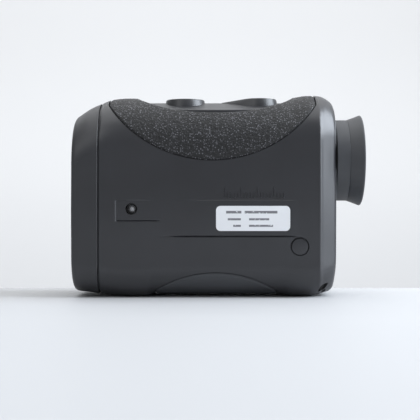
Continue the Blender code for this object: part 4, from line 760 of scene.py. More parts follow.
def superellipse(inset=0.0, steps=144):
    a, b = PANEL["length"] - inset, PANEL["width"] - inset
    turn = np.linspace(0, 2 * np.pi, steps, endpoint=False)
    c, s = np.cos(turn), np.sin(turn)
    share = 2 / PANEL["power"]
    return np.stack([PANEL["x"] + a * np.sign(c) * abs(c) ** share, b * np.sign(s) * abs(s) ** share], 1)


def crown_height(y):
    return PANEL["top"] - PANEL["radius"] + np.sqrt(PANEL["radius"] ** 2 - np.asarray(y, float) ** 2)


def crowned_block(name, drop, thickness):
    """A block whose top follows the panel's crown, lowered by drop."""
    y = np.linspace(-21, 21, 43)
    upper = [(v, crown_height(v) - drop) for v in y]
    lower = [(v, z - thickness) for v, z in reversed(upper)]
    return prism(name, upper + lower, "YZ", -45, 40)


def cord_slot():
    """A leaf-shaped hole in the lower rear corner, and the hole below that it opens into."""
    turn = math.radians(42)
    leaf = []
    for t in np.linspace(0, 2 * np.pi, 40, endpoint=False):
        u, v = 2.35 * math.cos(t), 0.95 * math.sin(t) * (1 - 0.45 * math.cos(t) ** 2)
        leaf.append((38.7 + u * math.cos(turn) - v * math.sin(turn), 3.7 + u * math.sin(turn) + v * math.cos(turn)))
    return prism("cord_leaf", leaf, "XZ", -25.0, -10.5), rod("cord_hole", (38.9, -12.0, 0), "Z", -3.0, 4.2, 1.15, 32)


def rounded_box(low, high, radius):
    return rounded([(low[0], low[1]), (high[0], low[1]), (high[0], high[1]), (low[0], high[1])], radius, 6)


def side_at(x, z):
    """Half width of the plain side at this place."""
    ring = case_ring(x)
    return float(np.interp(-z, -ring[:, 1], ring[:, 0]))


class RANGEFINDER_OT_housing(bpy.types.Operator):
    """Case halves with grip recesses, panel window, label bed, screw wells, cord slot and battery opening"""
    bl_idname = "rangefinder.housing"
    bl_label = "Case halves"

    def execute(self, context):
        case = housing_form()
        bosses = [rod("boss", (x, 0, z), "Y", -19.6, inner, 2.7, 40)
                  for (x, z, _), inner in ((FRONT_SCREW, -0.15), (REAR_SCREW, -13.3))]
        pocket = prism("pocket", superellipse(-GAP), "XY", 65.0, 85.0)
        cut(pocket, crowned_block("pocket_floor", 1.6 + GAP, 12.0))
        recesses = []
        for name, grip, gap, far in (("top", TOP_GRIP, GAP, 85.0), ("bottom", BOTTOM_GRIP, 0.45, -10.0)):
            zone = prism(name + "_recess", grip_outline(grip, gap, far), "XZ", -FAR, FAR)
            recesses.append(cut(zone, case_form(name + "_floor", 1.3, stretch=10.0)))
        combine(case, [
            ("DIFFERENCE", hollow()), ("UNION", bosses[0]), ("UNION", bosses[1]),
            ("DIFFERENCE", recesses[0]), ("DIFFERENCE", recesses[1]), ("DIFFERENCE", pocket),
            ("DIFFERENCE", prism("window", superellipse(3.6), "XY", 51.0, 85.0)),
            ("DIFFERENCE", rod("eyepiece_hole", (0, 0, VIEW_Z), "X", 38.0, 50.0, 12.7, 96)),
            ("DIFFERENCE", prism("door_opening", rounded_box((-9.5, 8.6), (9.5, 29.3), 1.1), "YZ", 38.0, 50.0)),
            ("DIFFERENCE", rod("hinge_bore", HINGE, "Y", -11.4, 11.4, HINGE_BORE, 24)),
        ])
        left = copy_of(case, "left_case")
        case.name = "right_case"
        cut(case, block("split_right", (-60, -FAR, -10), (60, 0.15, 90)))
        low, high = (np.array((LABEL["x"][end], LABEL["z"][end])) + room for end, room in ((0, -0.2), (1, 0.2)))
        bed = prism("label_bed", rounded_box(low, high, LABEL["corner"] + 0.2), "XZ", -FAR, 0.0)
        cut(bed, case_form("bed_floor", 0.06, density=1.0, stretch=5.0))
        x, z, seat = FRONT_SCREW
        face = -side_at(x, z)
        well = lathe("well", [(-FAR, 0), (-FAR, 2.6), (face - 0.1, 2.6), (face + 0.3, 2.15), (seat, 2.1),
                              (seat, 1.2), (-8.0, 1.2), (-8.0, 0)], (x, 0, z), "Y", 48)
        x, z, seat = REAR_SCREW
        face = -side_at(x, z)
        plug_seat = lathe("plug_seat", [(-FAR, 0), (-FAR, 3.55), (face - 0.1, 3.55), (face + 0.12, 3.42),
                                        (-19.2, 3.42), (-19.2, 2.1), (seat, 2.1), (seat, 1.2), (-9.0, 1.2),
                                        (-9.0, 0)], (x, 0, z), "Y", 64)
        cut(left, block("split_left", (-60, -0.15, -10), (60, FAR, 90)), bed, well, plug_seat, *cord_slot())
        finish(left, "housing_body", "case_polymer", "left_housing", smooth=32)
        finish(case, "housing_body", "case_polymer", "right_housing", smooth=32)
        return {"FINISHED"}


class RANGEFINDER_OT_bezel(bpy.types.Operator):
    """Front bezel with its rounded nose and two flared lens openings"""
    bl_idname = "rangefinder.bezel"
    bl_label = "Front bezel"

    def execute(self, context):
        rings = [(BEZEL_FRONT + 0.3 * (1 - math.cos(turn)), 0.3 * (1 - math.sin(turn)))
                 for turn in np.radians((0, 25, 50, 75))]
        rings += [(x, 0.0) for x in np.concatenate([np.arange(-53.9, -45.2, 0.45), [BEZEL_REAR - 0.1]])]
        body = loft("bezel", [bezel_ring(x, inset) for x, inset in [*rings, (BEZEL_REAR, 0.1)]])
        inside = [bezel_ring(x, 2.4, 0.6) for x in (-52.1, -50.0, -48.0, -46.0, -44.9)]
        inside.append(inside[-1] + (4, 0, 0))
        cutters = [loft("bezel_hollow", inside)]
        arc = np.radians(np.linspace(90, 0, 7))
        for z, radius in ((VIEW_Z, 12.9), (RECEIVER_Z, 11.6)):
            flare = [(BEZEL_FRONT + 1.3 - 1.3 * math.sin(a), radius + 1.0 - 1.0 * math.cos(a)) for a in arc]
            cutters.append(lathe("lens_opening", [(-58, 0), (-58, radius + 1.0), *flare, (-50, radius), (-50, 0)],
                                 (0, 0, z), "X", 96))
        cut(body, *cutters)
        finish(body, "housing_body", "bezel_polymer", "front_bezel", smooth=32)
        return {"FINISHED"}


# ---------------------------------------------------------------- grips
def thickened(points, faces, thickness):
    """Closes a sheet of quads into a solid by repeating it further in."""
    points = np.asarray(points, float)
    faces = np.asarray(faces)
    corner = points[faces]
    normal = np.cross(corner[:, 2] - corner[:, 0], corner[:, 3] - corner[:, 1])
    total = np.zeros_like(points)
    for k in range(4):
        np.add.at(total, faces[:, k], normal)
    total /= np.maximum(np.linalg.norm(total, axis=1, keepdims=True), 1e-12)
    inner = points - total * thickness
    count = len(points)
    edges = np.concatenate([faces[:, [k, (k + 1) % 4]] for k in range(4)])
    seen = {(a, b) for a, b in edges.tolist()}
    rim = [(b, a, a + count, b + count) for a, b in seen if (b, a) not in seen]
    return np.concatenate([points, inner]), faces.tolist() + (faces[:, ::-1] + count).tolist() + sorted(rim)


def grip_sheet(grip):
    """Points, quads and border distance of a grip's outer sheet: a strip down each side, or one round below."""
    low, high = grip["ends"]
    above = grip is TOP_GRIP
    way = -1 if above else 1
    xs = np.linspace(low, high, int((high - low) / grip["step"]) + 1)
    columns_across = grip["across"] + 1
    rows, near = [], []
    for x in xs:
        half = case_ring(x, grip["inset"])[::-way]
        length = np.concatenate([[0], np.cumsum(np.linalg.norm(np.diff(half, axis=0), axis=1))])
        border = grip["z"] + way * math.sqrt(grip["radius"] ** 2 - (x - grip["x"]) ** 2)
        end = float(np.interp(border, half[::way, 1], length[::way]))
        start = 0.0
        share = abs(x - PANEL["x"]) / (PANEL["length"] + GAP)
        if above and share < 1:
            edge = (PANEL["width"] + GAP) * (1 - share ** PANEL["power"]) ** (1 / PANEL["power"])
            start = float(np.interp(edge, half[:CROWN_POINTS, 0], length[:CROWN_POINTS]))
        s = np.linspace(start, end, columns_across)
        y, z = np.interp(s, length, half[:, 0]), np.interp(s, length, half[:, 1])
        rows.append(in_space(x, np.stack([y, z], 1)))
        edge_near = np.minimum(end - s, s - start if start > 0 else FAR)
        near.append(np.minimum(edge_near, min(x - low, high - x)))
    one = np.concatenate(rows)
    quads = np.array(grid(len(xs), columns_across))[:, ::way]
    return (np.concatenate([one, one * (1, -1, 1)]), np.concatenate([quads, quads[:, ::-1] + len(one)]),
            np.tile(np.concatenate(near), 2))


def merged(points, faces, near):
    """Joins the strips where they share points."""
    _, first, index = np.unique(np.round(points, 4), axis=0, return_index=True, return_inverse=True)
    faces = index.reshape(-1)[faces]
    whole = [len(set(face)) == 4 for face in faces.tolist()]
    return points[first], faces[whole], near[first]


class Tree:
    """A Geometry Nodes tree with named inputs that ends in one plain mesh with one material."""

    def __init__(self, name, **kinds):
        self.tree = bpy.data.node_groups.new(name, "GeometryNodeTree")
        self.ids = {}
        for title, kind in {"Geometry": "Geometry", **kinds, "Material": "Material"}.items():
            title = title.replace("_", " ")
            self.ids[title] = self.tree.interface.new_socket(title, in_out="INPUT",
                                                             socket_type="NodeSocket" + kind).identifier
        self.tree.interface.new_socket("Geometry", in_out="OUTPUT", socket_type="NodeSocketGeometry")
        self.given = self.tree.nodes.new("NodeGroupInput").outputs

    def node(self, kind, links=None, output=0, **settings):
        """Adds a node: its settings first, then the values or links of its sockets."""
        made = self.tree.nodes.new(kind)
        for key, value in settings.items():
            setattr(made, key, value)
        for key, value in (links or {}).items():
            if isinstance(value, bpy.types.NodeSocket):
                self.tree.links.new(value, made.inputs[key])
            else:
                made.inputs[key].default_value = value
        return made.outputs[output] if made.outputs else None

    def calc(self, operation, a, b=0.0, c=0.0):
        return self.node("ShaderNodeMath", {0: a, 1: b, 2: c}, operation=operation)

    def end(self, geometry):
        real = self.node("GeometryNodeRealizeInstances", {"Geometry": geometry})
        self.node("NodeGroupOutput", {"Geometry": self.node("GeometryNodeSetMaterial", {
            "Geometry": real, "Material": self.given["Material"]})})
        return self

    def run(self, obj, material, values):
        """Runs the tree on an object with its named inputs set, and keeps the plain mesh."""
        modifier = obj.modifiers.new(self.tree.name, "NODES")
        modifier.node_group = self.tree
        for name, value in {**values, "Material": bpy.data.materials[material]}.items():
            modifier[self.ids[name]] = value
        settle(obj)


def pebble_tree():
    """Raises rounded pebbles over a sheet, except near its border."""
    t = Tree("Pebbles", Pebble_Size="Float", Pebble_Height="Float", Border="Float")
    border = t.given["Border"]
    place = t.node("GeometryNodeInputPosition")
    density = t.calc("DIVIDE", 1.0, t.given["Pebble Size"])
    drift = t.node("ShaderNodeTexNoise", {"Vector": place, "Scale": 700.0, "Detail": 1.0})
    cell = t.node("ShaderNodeTexVoronoi", {"Vector": place, "Scale": density, "Randomness": 0.95}, "Distance")
    dome = t.calc("SUBTRACT", 1.0, t.calc("MULTIPLY", cell, cell))
    dome = t.calc("MULTIPLY", dome, t.calc("MULTIPLY_ADD", drift, 0.9, 0.5))
    near = t.node("GeometryNodeInputNamedAttribute", {"Name": "border"}, data_type="FLOAT")
    inner = t.node("ShaderNodeMapRange", {"Value": near, "From Min": t.calc("MULTIPLY", border, 0.5),
                                          "From Max": border}, interpolation_type="SMOOTHSTEP")
    height = t.calc("MULTIPLY", t.calc("MULTIPLY", dome, inner), t.given["Pebble Height"])
    offset = t.node("ShaderNodeVectorMath", {0: t.node("GeometryNodeInputNormal"), "Scale": height},
                    operation="SCALE")
    return t.end(t.node("GeometryNodeSetPosition", {"Geometry": t.given["Geometry"], "Offset": offset}))


def solid_sheet(name, points, faces, thickness):
    """A closed thin solid from a sheet, without reordering its points."""
    points, faces = thickened(points, faces, thickness)
    mesh = bpy.data.meshes.new(name)
    mesh.from_pydata((points * MM).tolist(), [], faces)
    bm = bmesh.new()
    bm.from_mesh(mesh)
    if bm.calc_volume(signed=True) < 0:
        bmesh.ops.reverse_faces(bm, faces=bm.faces)
        bm.to_mesh(mesh)
    bm.free()
    return linked(name, mesh)


class RANGEFINDER_OT_grips(bpy.types.Operator):
    """Pebbled grip over the top and sides, and the plain rubber foot pad below"""
    bl_idname = "rangefinder.grips"
    bl_label = "Grips"

    def execute(self, context):
        for grip, name, slot, node, smooth in ((TOP_GRIP, "pebbled_grip", "grip_rubber", "top_grip", 60),
                                               (BOTTOM_GRIP, "bottom_pad", "smooth_rubber", "bottom_grip", 50)):
            points, faces, near = merged(*grip_sheet(grip))
            points[:, 1:] += self.rounding(points, near, grip["middle"])
            pad = solid_sheet(name, points, faces, grip["thickness"])
            if grip is TOP_GRIP:
                border = pad.data.attributes.new("border", "FLOAT", "POINT")     # 0 on the inner sheet
                border.data.foreach_set("value", np.concatenate([near, near * 0]).astype(np.float32) * MM)
                pebble_tree().run(pad, slot, {"Pebble Size": look().pebble, "Pebble Height": look().pebble_height,
                                              "Border": 0.9 * MM})
            finish(pad, "housing_body", slot, node, smooth=smooth)
        return {"FINISHED"}

    def rounding(self, points, near, middle):
        """Draws the border of a grip inwards to a round edge."""
        share = np.clip(1 - near / 0.55, 0, 1)
        inward = np.stack([-points[:, 1], middle - points[:, 2]], 1)
        inward /= np.maximum(np.linalg.norm(inward, axis=1, keepdims=True), 1e-9)
        return inward * (0.32 * share ** 2)[:, None]


# ---------------------------------------------------------------- panel and buttons
def panel_height(y):
    """Height of the panel's top across its width: a soft ridge that falls to both sides."""
    fall = (np.sqrt(np.asarray(y, float) ** 2 + 2.2) - 1.483) / (math.sqrt(PANEL["width"] ** 2 + 2.2) - 1.483)
    return PANEL["top"] - (PANEL["top"] - crown_height(PANEL["width"])) * fall


def hull(name, points):
    """The smallest rounded solid round these points."""
    mesh = bpy.data.meshes.new(name)
    bm = bmesh.new()
    for point in points:
        bm.verts.new(Vector(point) * MM)
    bm.verts.ensure_lookup_table()
    bmesh.ops.convex_hull(bm, input=bm.verts[:])
    bmesh.ops.delete(bm, geom=[vert for vert in bm.verts if not vert.link_faces], context="VERTS")
    bm.to_mesh(mesh)
    bm.free()
    obj = linked(name, mesh)
    outward(obj)
    return obj


def circle(x, z, radius, steps=72):
    turn = np.linspace(0, 2 * np.pi, steps, endpoint=False)
    return [(x + radius * math.cos(a), radius * math.sin(a), z) for a in turn]


def collar(name, x, rim, top, tip=None):
    """A sloping round collar. With a tip it runs forward into a ramp."""
    points = [point for z, radius in ((top, rim - 0.25), (top - 0.07, rim - 0.07), (top - 0.25, rim + 0.05),
                                      (top - 5.2, rim + 1.2)) for point in circle(x, z, radius)]
    if tip:
        points += circle(tip, 73.72, 0.8, 24) + circle(tip, 69.0, 2.6, 24)
    solid = hull(name, points)
    dish = lathe(name + "_dish", [(90, 0), (90, rim - 0.7), (top, rim - 0.7), (top - 0.35, rim - 1.0),
                                  (top - 0.75, rim - 1.7), (top - 0.8, 0)], (x, 0, 0), "Z", 72)
    return cut(solid, crowned_block(name + "_floor", 1.35, 12.0), dish)


class RANGEFINDER_OT_panel(bpy.types.Operator):
    """Button panel with its round collar and its ramped collar"""
    bl_idname = "rangefinder.panel"
    bl_label = "Button panel"

    def execute(self, context):
        rim = superellipse(0.0, 192)
        drops = ((0.985, 0.0), (0.992, 0.05), (0.997, 0.16), (1.0, 0.36))
        centre = np.array([PANEL["x"], 0.0])
        rings = []
        for share, drop in [(share, 0.0) for share in np.linspace(0.02, 0.97, 48)] + list(drops):
            flat = centre + (rim - centre) * share
            rings.append(np.column_stack([flat, panel_height(flat[:, 1]) - drop]))
        for share in (1.0, 0.75, 0.5, 0.25, 0.02):
            flat = centre + (rim - centre) * share
            rings.append(np.column_stack([flat, crown_height(flat[:, 1]) - 1.6]))
        panel = loft("button_panel", rings)
        steps = [("UNION", collar("round_collar", POWER_BUTTON["x"], 7.3, 74.65)),
                 ("UNION", collar("ramped_collar", MODE_BUTTON["x"], 6.7, 74.95, 2.0))]
        steps += [("DIFFERENCE", rod("hole" + str(button["x"]), (button["x"], 0, 0), "Z", 60.0, 90.0,
                                     button["radius"] + GAP, 96)) for button in (POWER_BUTTON, MODE_BUTTON)]
        x = PANEL["x"] - PANEL["length"] + 6.2
        steps.append(("DIFFERENCE", lathe("tool_mark", [(72.4, 0), (72.4, 0.45), (76, 0.7), (76, 0)], (x, -3.5, 0),
                                          "Z", 24)))
        combine(panel, steps)
        finish(panel, "housing_body", "case_polymer", "control_panel", smooth=33)
        return {"FINISHED"}


class RANGEFINDER_OT_buttons(bpy.types.Operator):
    """The two round rubber buttons"""
    bl_idname = "rangefinder.buttons"
    bl_label = "Buttons"

    def execute(self, context):
        for name, button in (("power_button", POWER_BUTTON), ("mode_button", MODE_BUTTON)):
            r, top = button["radius"], button["top"]
            edge = [(top - 0.80 + 0.28 * math.sin(a), r - 0.28 + 0.28 * math.cos(a))
                    for a in np.radians(np.linspace(0, 75, 6))]
            dish = [(top - 0.52 * (s / (r - 0.2)) ** 2, s) for s in np.linspace(r - 0.22, 0, 12)]
            flange = r + 1.1
            profile = [(BUTTON_BASE, 0), (BUTTON_BASE, flange), (BUTTON_BASE + 0.8, flange),
                       (BUTTON_BASE + 0.8, r), *edge, *dish]
            cap = lathe(name + "_cap", profile, (button["x"], 0, 0), "Z", 96)
            finish(cap, name + "_body", "button_rubber", name, smooth=40)
        return {"FINISHED"}


# ---------------------------------------------------------------- optics
def lens_profile(front, thickness, radius, bulge, rear_bulge):
    """A lens: bulge is how far each face stands out from its own edge."""
    s = np.linspace(0, radius, 13)
    first = [(front + bulge * (v / radius) ** 2, v) for v in s]
    last = [(front + thickness - rear_bulge * (v / radius) ** 2, v) for v in s[::-1]]
    return first + last


def extent(node):
    """Front, rear and radius of a round node along X, in millimetres."""
    low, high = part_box(node)
    return low.x / MM, high.x / MM, (high.z - low.z) / 2 / MM


class RANGEFINDER_OT_optics(bpy.types.Operator):
    """Front retaining rings and lenses"""
    bl_idname = "rangefinder.optics"
    bl_label = "Front optics"

    def execute(self, context):
        for part, z, lens_radius, bulges, lens_node in (
                ("objective", VIEW_Z, 10.7, (1.3, 0.9), "objective_crown_lens"),
                ("receiver", RECEIVER_Z, 9.6, (1.5, 0.8), "receiver_lens")):
            front, rear, outer = extent(part + "_retainer")
            ring = lathe(part + "_ring", [
                (rear - 0.05, outer - 1.25), (front + 0.45, outer - 1.25), (front, outer - 0.85),
                (front, outer - 0.1), (front + 0.1, outer), (rear - 0.05, outer)], (0, 0, z), "X", 96)
            cut(ring, *[block("slot", (front - 1, way * (outer - 0.6) - 0.9, z - 0.45),
                              (front + 0.55, way * (outer - 0.6) + 0.9, z + 0.45)) for way in (-1, 1)])
            finish(ring, "housing_body", "black_aluminium", part + "_retainer", smooth=35)
            front, rear, _ = extent(lens_node)
            lens = lathe(part + "_front_lens", lens_profile(front, rear - front, lens_radius, *bulges),
                         (0, 0, z), "X", 96)
            finish(lens, "housing_body", "coated_glass", lens_node, smooth=50)
        return {"FINISHED"}


class RANGEFINDER_OT_eyepiece(bpy.types.Operator):
    """Rubber eyecup with its flared rim, the eye lens and its ring"""
    bl_idname = "rangefinder.eyepiece"
    bl_label = "Eyepiece"

    def execute(self, context):
        flare = [(49.1 + 4.7 * t, 15.5 + 1.75 * (0.88 * t + 0.12 * t * t)) for t in np.linspace(0, 1, 12)]
        profile = [
            (44.2, 14.4), (44.2, 15.35), (44.35, 15.5), (48.9, 15.5), (49.0, 15.42), *flare, (54.05, 17.3),
            (54.3, 17.22), (54.48, 16.9), (54.42, 16.3), (54.0, 15.75),
            (53.0, 14.9), (52.4, 13.9), (52.05, 12.6), (51.6, 12.42), (51.15, 12.55), (51.1, 13.0), (51.1, 14.3)]
        cup = lathe("soft_eyecup", profile, (0, 0, VIEW_Z), "X", 128)
        finish(cup, "diopter_body", "smooth_rubber", "eyecup", smooth=38)
        front, rear, outer = extent("eye_lens")
        lens = lathe("eyepiece_lens", lens_profile(front, rear - front, outer, 0.8, 1.4), (0, 0, VIEW_Z), "X", 96)
        finish(lens, "ocular_body", "coated_glass", "eye_lens", smooth=50)
        front, rear, outer = extent("ocular_retainer")
        ring = lathe("eyepiece_ring", [
            (front, outer), (rear - 0.12, outer), (rear, outer - 0.12), (rear, outer - 0.6),
            (front + 0.2, outer - 1.0), (front, outer - 1.0)], (0, 0, VIEW_Z), "X", 96)
        finish(ring, "ocular_body", "black_aluminium", "ocular_retainer", smooth=35)
        return {"FINISHED"}


# ---------------------------------------------------------------- battery door
class RANGEFINDER_OT_door(bpy.types.Operator):
    """Battery door with its rounded edge, finger dip and knuckle"""
    bl_idname = "rangefinder.door"
    bl_label = "Battery door"

    def execute(self, context):
        rings = []
        for x, inset in ((42.2, 0.25), (42.4, 0.0), (43.3, 0.0), (43.5, 0.06), (43.7, 0.2), (43.8, 0.42)):
            outline = rounded_box((-9.2 + inset, 11.0 + inset), (9.2 - inset, 29.0 - inset), 1.0)
            rings.append(np.column_stack([np.full(len(outline), x), np.array(outline)]))
        door = loft("battery_cover", rings)
        knuckle = rod("knuckle", HINGE, "Y", -7.2, 7.2, 1.3, 32)
        bore = rod("bore", HINGE, "Y", -12, 12, HINGE_BORE, 24)
        dip = lathe("dip", rounded([(-4.2, 0), (-4.2, 2.6), (4.2, 2.6), (4.2, 0)], (0, 0.8, 0.8, 0)),
                    (45.6, 0, 25.5), "Y", 64)
        combine(door, [("UNION", knuckle), ("DIFFERENCE", bore), ("DIFFERENCE", dip)])
        finish(door, "battery_door_body", "case_polymer", "battery_door", smooth=35)
        return {"FINISHED"}


# ---------------------------------------------------------------- trim
def label_sheet(step=0.5):
    """The label's outer face: a rounded rectangle of quads laid on the left side."""
    (low_x, high_x), (low_z, high_z), corner = LABEL["x"], LABEL["z"], LABEL["corner"]
    bend = corner * (1 - np.cos(np.radians(np.arange(0, 91, 15))))
    xs = np.unique(np.concatenate([np.linspace(low_x, high_x, int((high_x - low_x) / step) + 1),
                                   low_x + bend, high_x - bend]).round(5))
    count = int((high_z - low_z) / step) + 1
    points = []
    for x in xs:
        depth = max(low_x + corner - x, x - high_x + corner, 0.0)
        pull = corner - math.sqrt(max(corner ** 2 - depth ** 2, 0.0))
        for z in np.linspace(low_z + pull, high_z - pull, count):
            points.append((x, -(side_at(x, z) + LABEL["proud"]), z))
    return np.array(points), np.array(grid(len(xs), count))[:, ::-1]


class RANGEFINDER_OT_label(bpy.types.Operator):
    """Label film laid on the left side"""
    bl_idname = "rangefinder.label"
    bl_label = "Label"

    def execute(self, context):
        label = solid_sheet("side_label", *label_sheet(), LABEL["thickness"])
        finish(label, "housing_body", "label_film", "rating_label", smooth=30)
        return {"FINISHED"}


def marks_tree():
    """Stands a small bar at each point of a row, longer at every fifth."""
    t = Tree("Scale marks", Count="Int", Pitch="Float", Height="Float")
    step = t.node("ShaderNodeCombineXYZ", {"X": t.given["Pitch"]})
    line = t.node("GeometryNodeMeshLine", {"Count": t.given["Count"], "Offset": step}, mode="OFFSET")
    plain = t.calc("GREATER_THAN", t.calc("MODULO", t.node("GeometryNodeInputIndex"), 5.0), 0.5)
    share = t.calc("MULTIPLY_ADD", plain, -0.45, 1.0)
    scale = t.node("ShaderNodeCombineXYZ", {"X": 1.0, "Y": 1.0, "Z": share})
    placed = t.node("GeometryNodeInstanceOnPoints", {"Points": line, "Instance": t.given["Geometry"],
                                                     "Scale": scale})
    low = t.calc("MULTIPLY", t.calc("MULTIPLY", share, t.given["Height"]), 0.5)
    lift = t.node("ShaderNodeCombineXYZ", {"Z": low})
    return t.end(t.node("GeometryNodeTranslateInstances", {"Instances": placed, "Translation": lift}))


class RANGEFINDER_OT_marks(bpy.types.Operator):
    """Raised scale marks above the label"""
    bl_idname = "rangefinder.marks"
    bl_label = "Scale marks"

    def execute(self, context):
        height = MARK["height"]
        mark = loft("scale_marks", [
            np.array([(-0.24, -y, -height / 2), (0.24, -y, -height / 2), (0.24, -y, height / 2),
                      (-0.24, -y, height / 2)]) * (1 - pull, 1, 1 - pull / 6)
            for y, pull in ((-0.25, 0.0), (0.0, 0.0), (0.19, 0.45))])
        count = look().ticks
        marks_tree().run(mark, "case_polymer", {"Count": count, "Pitch": MARK["length"] / (count - 1) * MM,
                                                "Height": height * MM})
        co = np.zeros(len(mark.data.vertices) * 3)
        mark.data.vertices.foreach_get("co", co)
        co = co.reshape(-1, 3) + np.array((MARK["x"], 0.0, MARK["z"])) * MM
        for point in co:
            point[1] -= side_at(point[0] / MM, point[2] / MM) * MM
        mark.data.vertices.foreach_set("co", co.reshape(-1))
        finish(mark, "housing_body", "case_polymer", smooth=30)
        return {"FINISHED"}


class RANGEFINDER_OT_fasteners(bpy.types.Operator):
    """The screw seen in its well and the plug over the rear screw"""
    bl_idname = "rangefinder.fasteners"
    bl_label = "Screw and plug"

    def execute(self, context):
        x, z, seat = FRONT_SCREW
        top = seat - GAP - 1.3
        dome = [(top + 0.32 * (s / 1.45) ** 2, s) for s in np.linspace(0, 1.45, 8)]
        screw = lathe("cross_screw", [*dome, (top + 0.6, 1.5), (seat - GAP, 1.5), (seat - GAP, 0.9), (-8.2, 0.9),
                                      (-8.0, 0.7), (-8.0, 0)], (x, 0, z), "Y", 48)
        corners = np.array([(-1, -1), (1, -1), (1, 1), (-1, 1)])
        arms = []
        for size in ((0.95, 0.17), (0.17, 0.95)):
            arms.append(loft("arm", [np.insert((x, z) + corners * size * s, 1, y, axis=1)
                                     for y, s in ((top - 0.5, 1.15), (top + 0.75, 0.75))]))
        cut(screw, *arms)
        finish(screw, "housing_body", "steel", "side_screw_front", smooth=35)
        x, z, _ = REAR_SCREW
        face = -side_at(x, z) + 0.02
        plug = lathe("round_plug", [(face, 0), (face, 2.75), (face + 0.06, 2.95), (face + 0.22, 3.05), (-19.4, 3.08),
                                    (-19.4, 0)], (x, 0, z), "Y", 96)
        finish(plug, "housing_body", "case_polymer", "screw_plug", smooth=35)
        return {"FINISHED"}


# ---------------------------------------------------------------- finishes on the frame's own nodes
class RANGEFINDER_OT_finishes(bpy.types.Operator):
    """Procedural finishes for every piece, and for the nodes that stay"""
    bl_idname = "rangefinder.finishes"
    bl_label = "Finishes"

    def execute(self, context):
        for obj in frame["nodes"].values():
            obj.data.materials.clear()
        for material in list(bpy.data.materials):
            bpy.data.materials.remove(material)
        finishes = make_finishes()
        for row in frame["record"]["subparts"]:
            frame["nodes"][row["node"]].data.materials.append(finishes[row["material_slot"]])
        return {"FINISHED"}


# ---------------------------------------------------------------- stage
def sheet(name, profile, half, drop):
    """A wide sheet that follows a (y, z) profile, from one end of the stage to the other."""
    across = np.concatenate([np.linspace(-half, -200, 5), np.linspace(-150, 150, 5), np.linspace(200, half, 5)])
    points = [(x, y, z + drop) for x in across for y, z in profile]
    return new_object(name, points, grid(len(across), len(profile)), 60)


def area_light(name, place, aim, size, strength, colour):
    """A rectangular light of this radiance that faces a point."""
    data = bpy.data.lights.new(name, "AREA")
    data.shape = "RECTANGLE"
    data.size, data.size_y = size
    data.energy = strength * math.pi * size[0] * size[1]
    data.color = colour
    obj = linked(name, data)
    obj.location = place
    obj.visible_camera = False
    obj.rotation_euler = (Vector(aim) - Vector(place)).to_track_quat("-Z", "Y").to_euler()


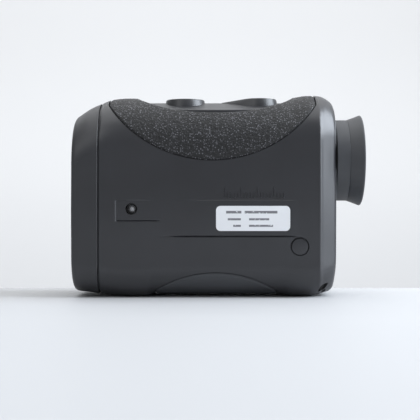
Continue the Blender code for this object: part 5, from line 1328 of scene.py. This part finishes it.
class RANGEFINDER_OT_stage(bpy.types.Operator):
    """Pale floor and backdrop, studio lights and camera"""
    bl_idname = "rangefinder.stage"
    bl_label = "Stage"

    def execute(self, context):
        stage = context.scene.rangefinder_stage
        edge = stage.table_edge / MM
        lip = [(edge + 14 * math.sin(a), 14 * math.cos(a) - 14) for a in np.radians(np.linspace(0, 90, 19))]
        profile = [(-1800.0, 0.0), (-600.0, 0.0), (-200.0, 0.0), (-60.0, 0.0), *lip, (edge + 14, -400.0)]
        table = sheet("table", profile, 1800.0, -0.02)
        wall = sheet("backdrop", [(1300.0, -900.0), (1300.0, 300.0), (1300.0, 1600.0)], 2200.0, 0.0)
        for piece, light, dark in ((table, (0.545, 0.55, 0.56), (0.52, 0.525, 0.535)),
                                   (wall, (0.90, 0.90, 0.90), (0.885, 0.885, 0.89))):
            f = Finish(piece.name)
            tone = f.noise(240.0, 2.0)
            # On the backdrop only, the colour is painted darker from 60 mm up to 420 mm: painted shade that evens
            # out the brighter top the strip light above it gives.
            high = f.between(f.axis(2), 60.0, 420.0) * (piece is wall)
            base = f.mix(high, f.mix(tone, light, dark), scaled(dark, 0.76))
            piece.data.materials.append(f.surface(base, 0.5 + tone * 0.15, Specular_IOR_Level=0.3))
        cool, plain, soft = (0.84, 0.91, 1.0), (0.98, 0.99, 1.0), (0.96, 0.98, 1.0)
        for light in (
                ("side_light", (0.58, -0.07, 0.40), (0.0, 0.0, 0.04), (0.50, 0.46), stage.key, cool),
                ("low_side_light", (0.60, -0.13, 0.08), (0.0, 0.0, 0.05), (0.36, 0.16), stage.key * 0.37, cool),
                ("overhead_light", (0.0, 0.05, 0.95), (0.0, 0.0, 0.0), (1.3, 1.1), stage.overhead, plain),
                ("backdrop_light", (0.0, 0.80, 0.9), (0.0, 1.3, 0.1), (2.4, 0.3), stage.backdrop, plain),
                ("front_light", (-0.50, -0.60, 0.55), (0.0, 0.0, 0.03), (0.45, 0.45), stage.front, soft)):
            area_light(*light)
        world = bpy.data.worlds.new("surround")
        context.scene.world = world
        world.use_nodes = True
        background = world.node_tree.nodes["Background"]
        background.inputs["Color"].default_value = (0.93, 0.96, 1.0, 1.0)
        background.inputs["Strength"].default_value = stage.surround
        camera = linked("camera", bpy.data.cameras.new("camera"))
        camera.data.lens = stage.lens
        camera.data.sensor_width = 36.0
        camera.data.clip_start = 0.01
        camera.location = (-0.0033, -stage.distance, stage.height)
        camera.rotation_euler = (math.radians(90), 0, 0)
        context.scene.camera = camera
        context.scene.view_settings.view_transform = "Standard"
        return {"FINISHED"}


class RANGEFINDER_PT_build(bpy.types.Panel):
    """Lists the rangefinder's pieces in the sidebar"""
    bl_label = "Laser rangefinder"
    bl_idname = "RANGEFINDER_PT_build"
    bl_space_type = "VIEW_3D"
    bl_region_type = "UI"
    bl_category = "Rangefinder"

    def draw(self, context):
        for group in (context.scene.rangefinder_look, context.scene.rangefinder_stage):
            box = self.layout.box()
            for name in group.bl_rna.properties.keys():
                if name not in ("rna_type", "name"):
                    box.prop(group, name)
        for operator in OPERATORS:
            self.layout.operator(operator.bl_idname)


OPERATORS = (
    RANGEFINDER_OT_finishes, RANGEFINDER_OT_housing, RANGEFINDER_OT_bezel, RANGEFINDER_OT_grips,
    RANGEFINDER_OT_panel, RANGEFINDER_OT_buttons, RANGEFINDER_OT_optics, RANGEFINDER_OT_eyepiece,
    RANGEFINDER_OT_door, RANGEFINDER_OT_label, RANGEFINDER_OT_marks, RANGEFINDER_OT_fasteners,
    RANGEFINDER_OT_stage,
)
CLASSES = (RangefinderLook, RangefinderStage, *OPERATORS, RANGEFINDER_PT_build)


def register():
    for cls in CLASSES:
        bpy.utils.register_class(cls)
    bpy.types.Scene.rangefinder_look = PointerProperty(type=RangefinderLook)
    bpy.types.Scene.rangefinder_stage = PointerProperty(type=RangefinderStage)


def unregister():
    del bpy.types.Scene.rangefinder_stage
    del bpy.types.Scene.rangefinder_look
    for cls in reversed(CLASSES):
        bpy.utils.unregister_class(cls)


def main():
    register()
    for operator in OPERATORS:
        group, name = operator.bl_idname.split(".")
        getattr(getattr(bpy.ops, group), name)()


if __name__ == "__main__":
    main()
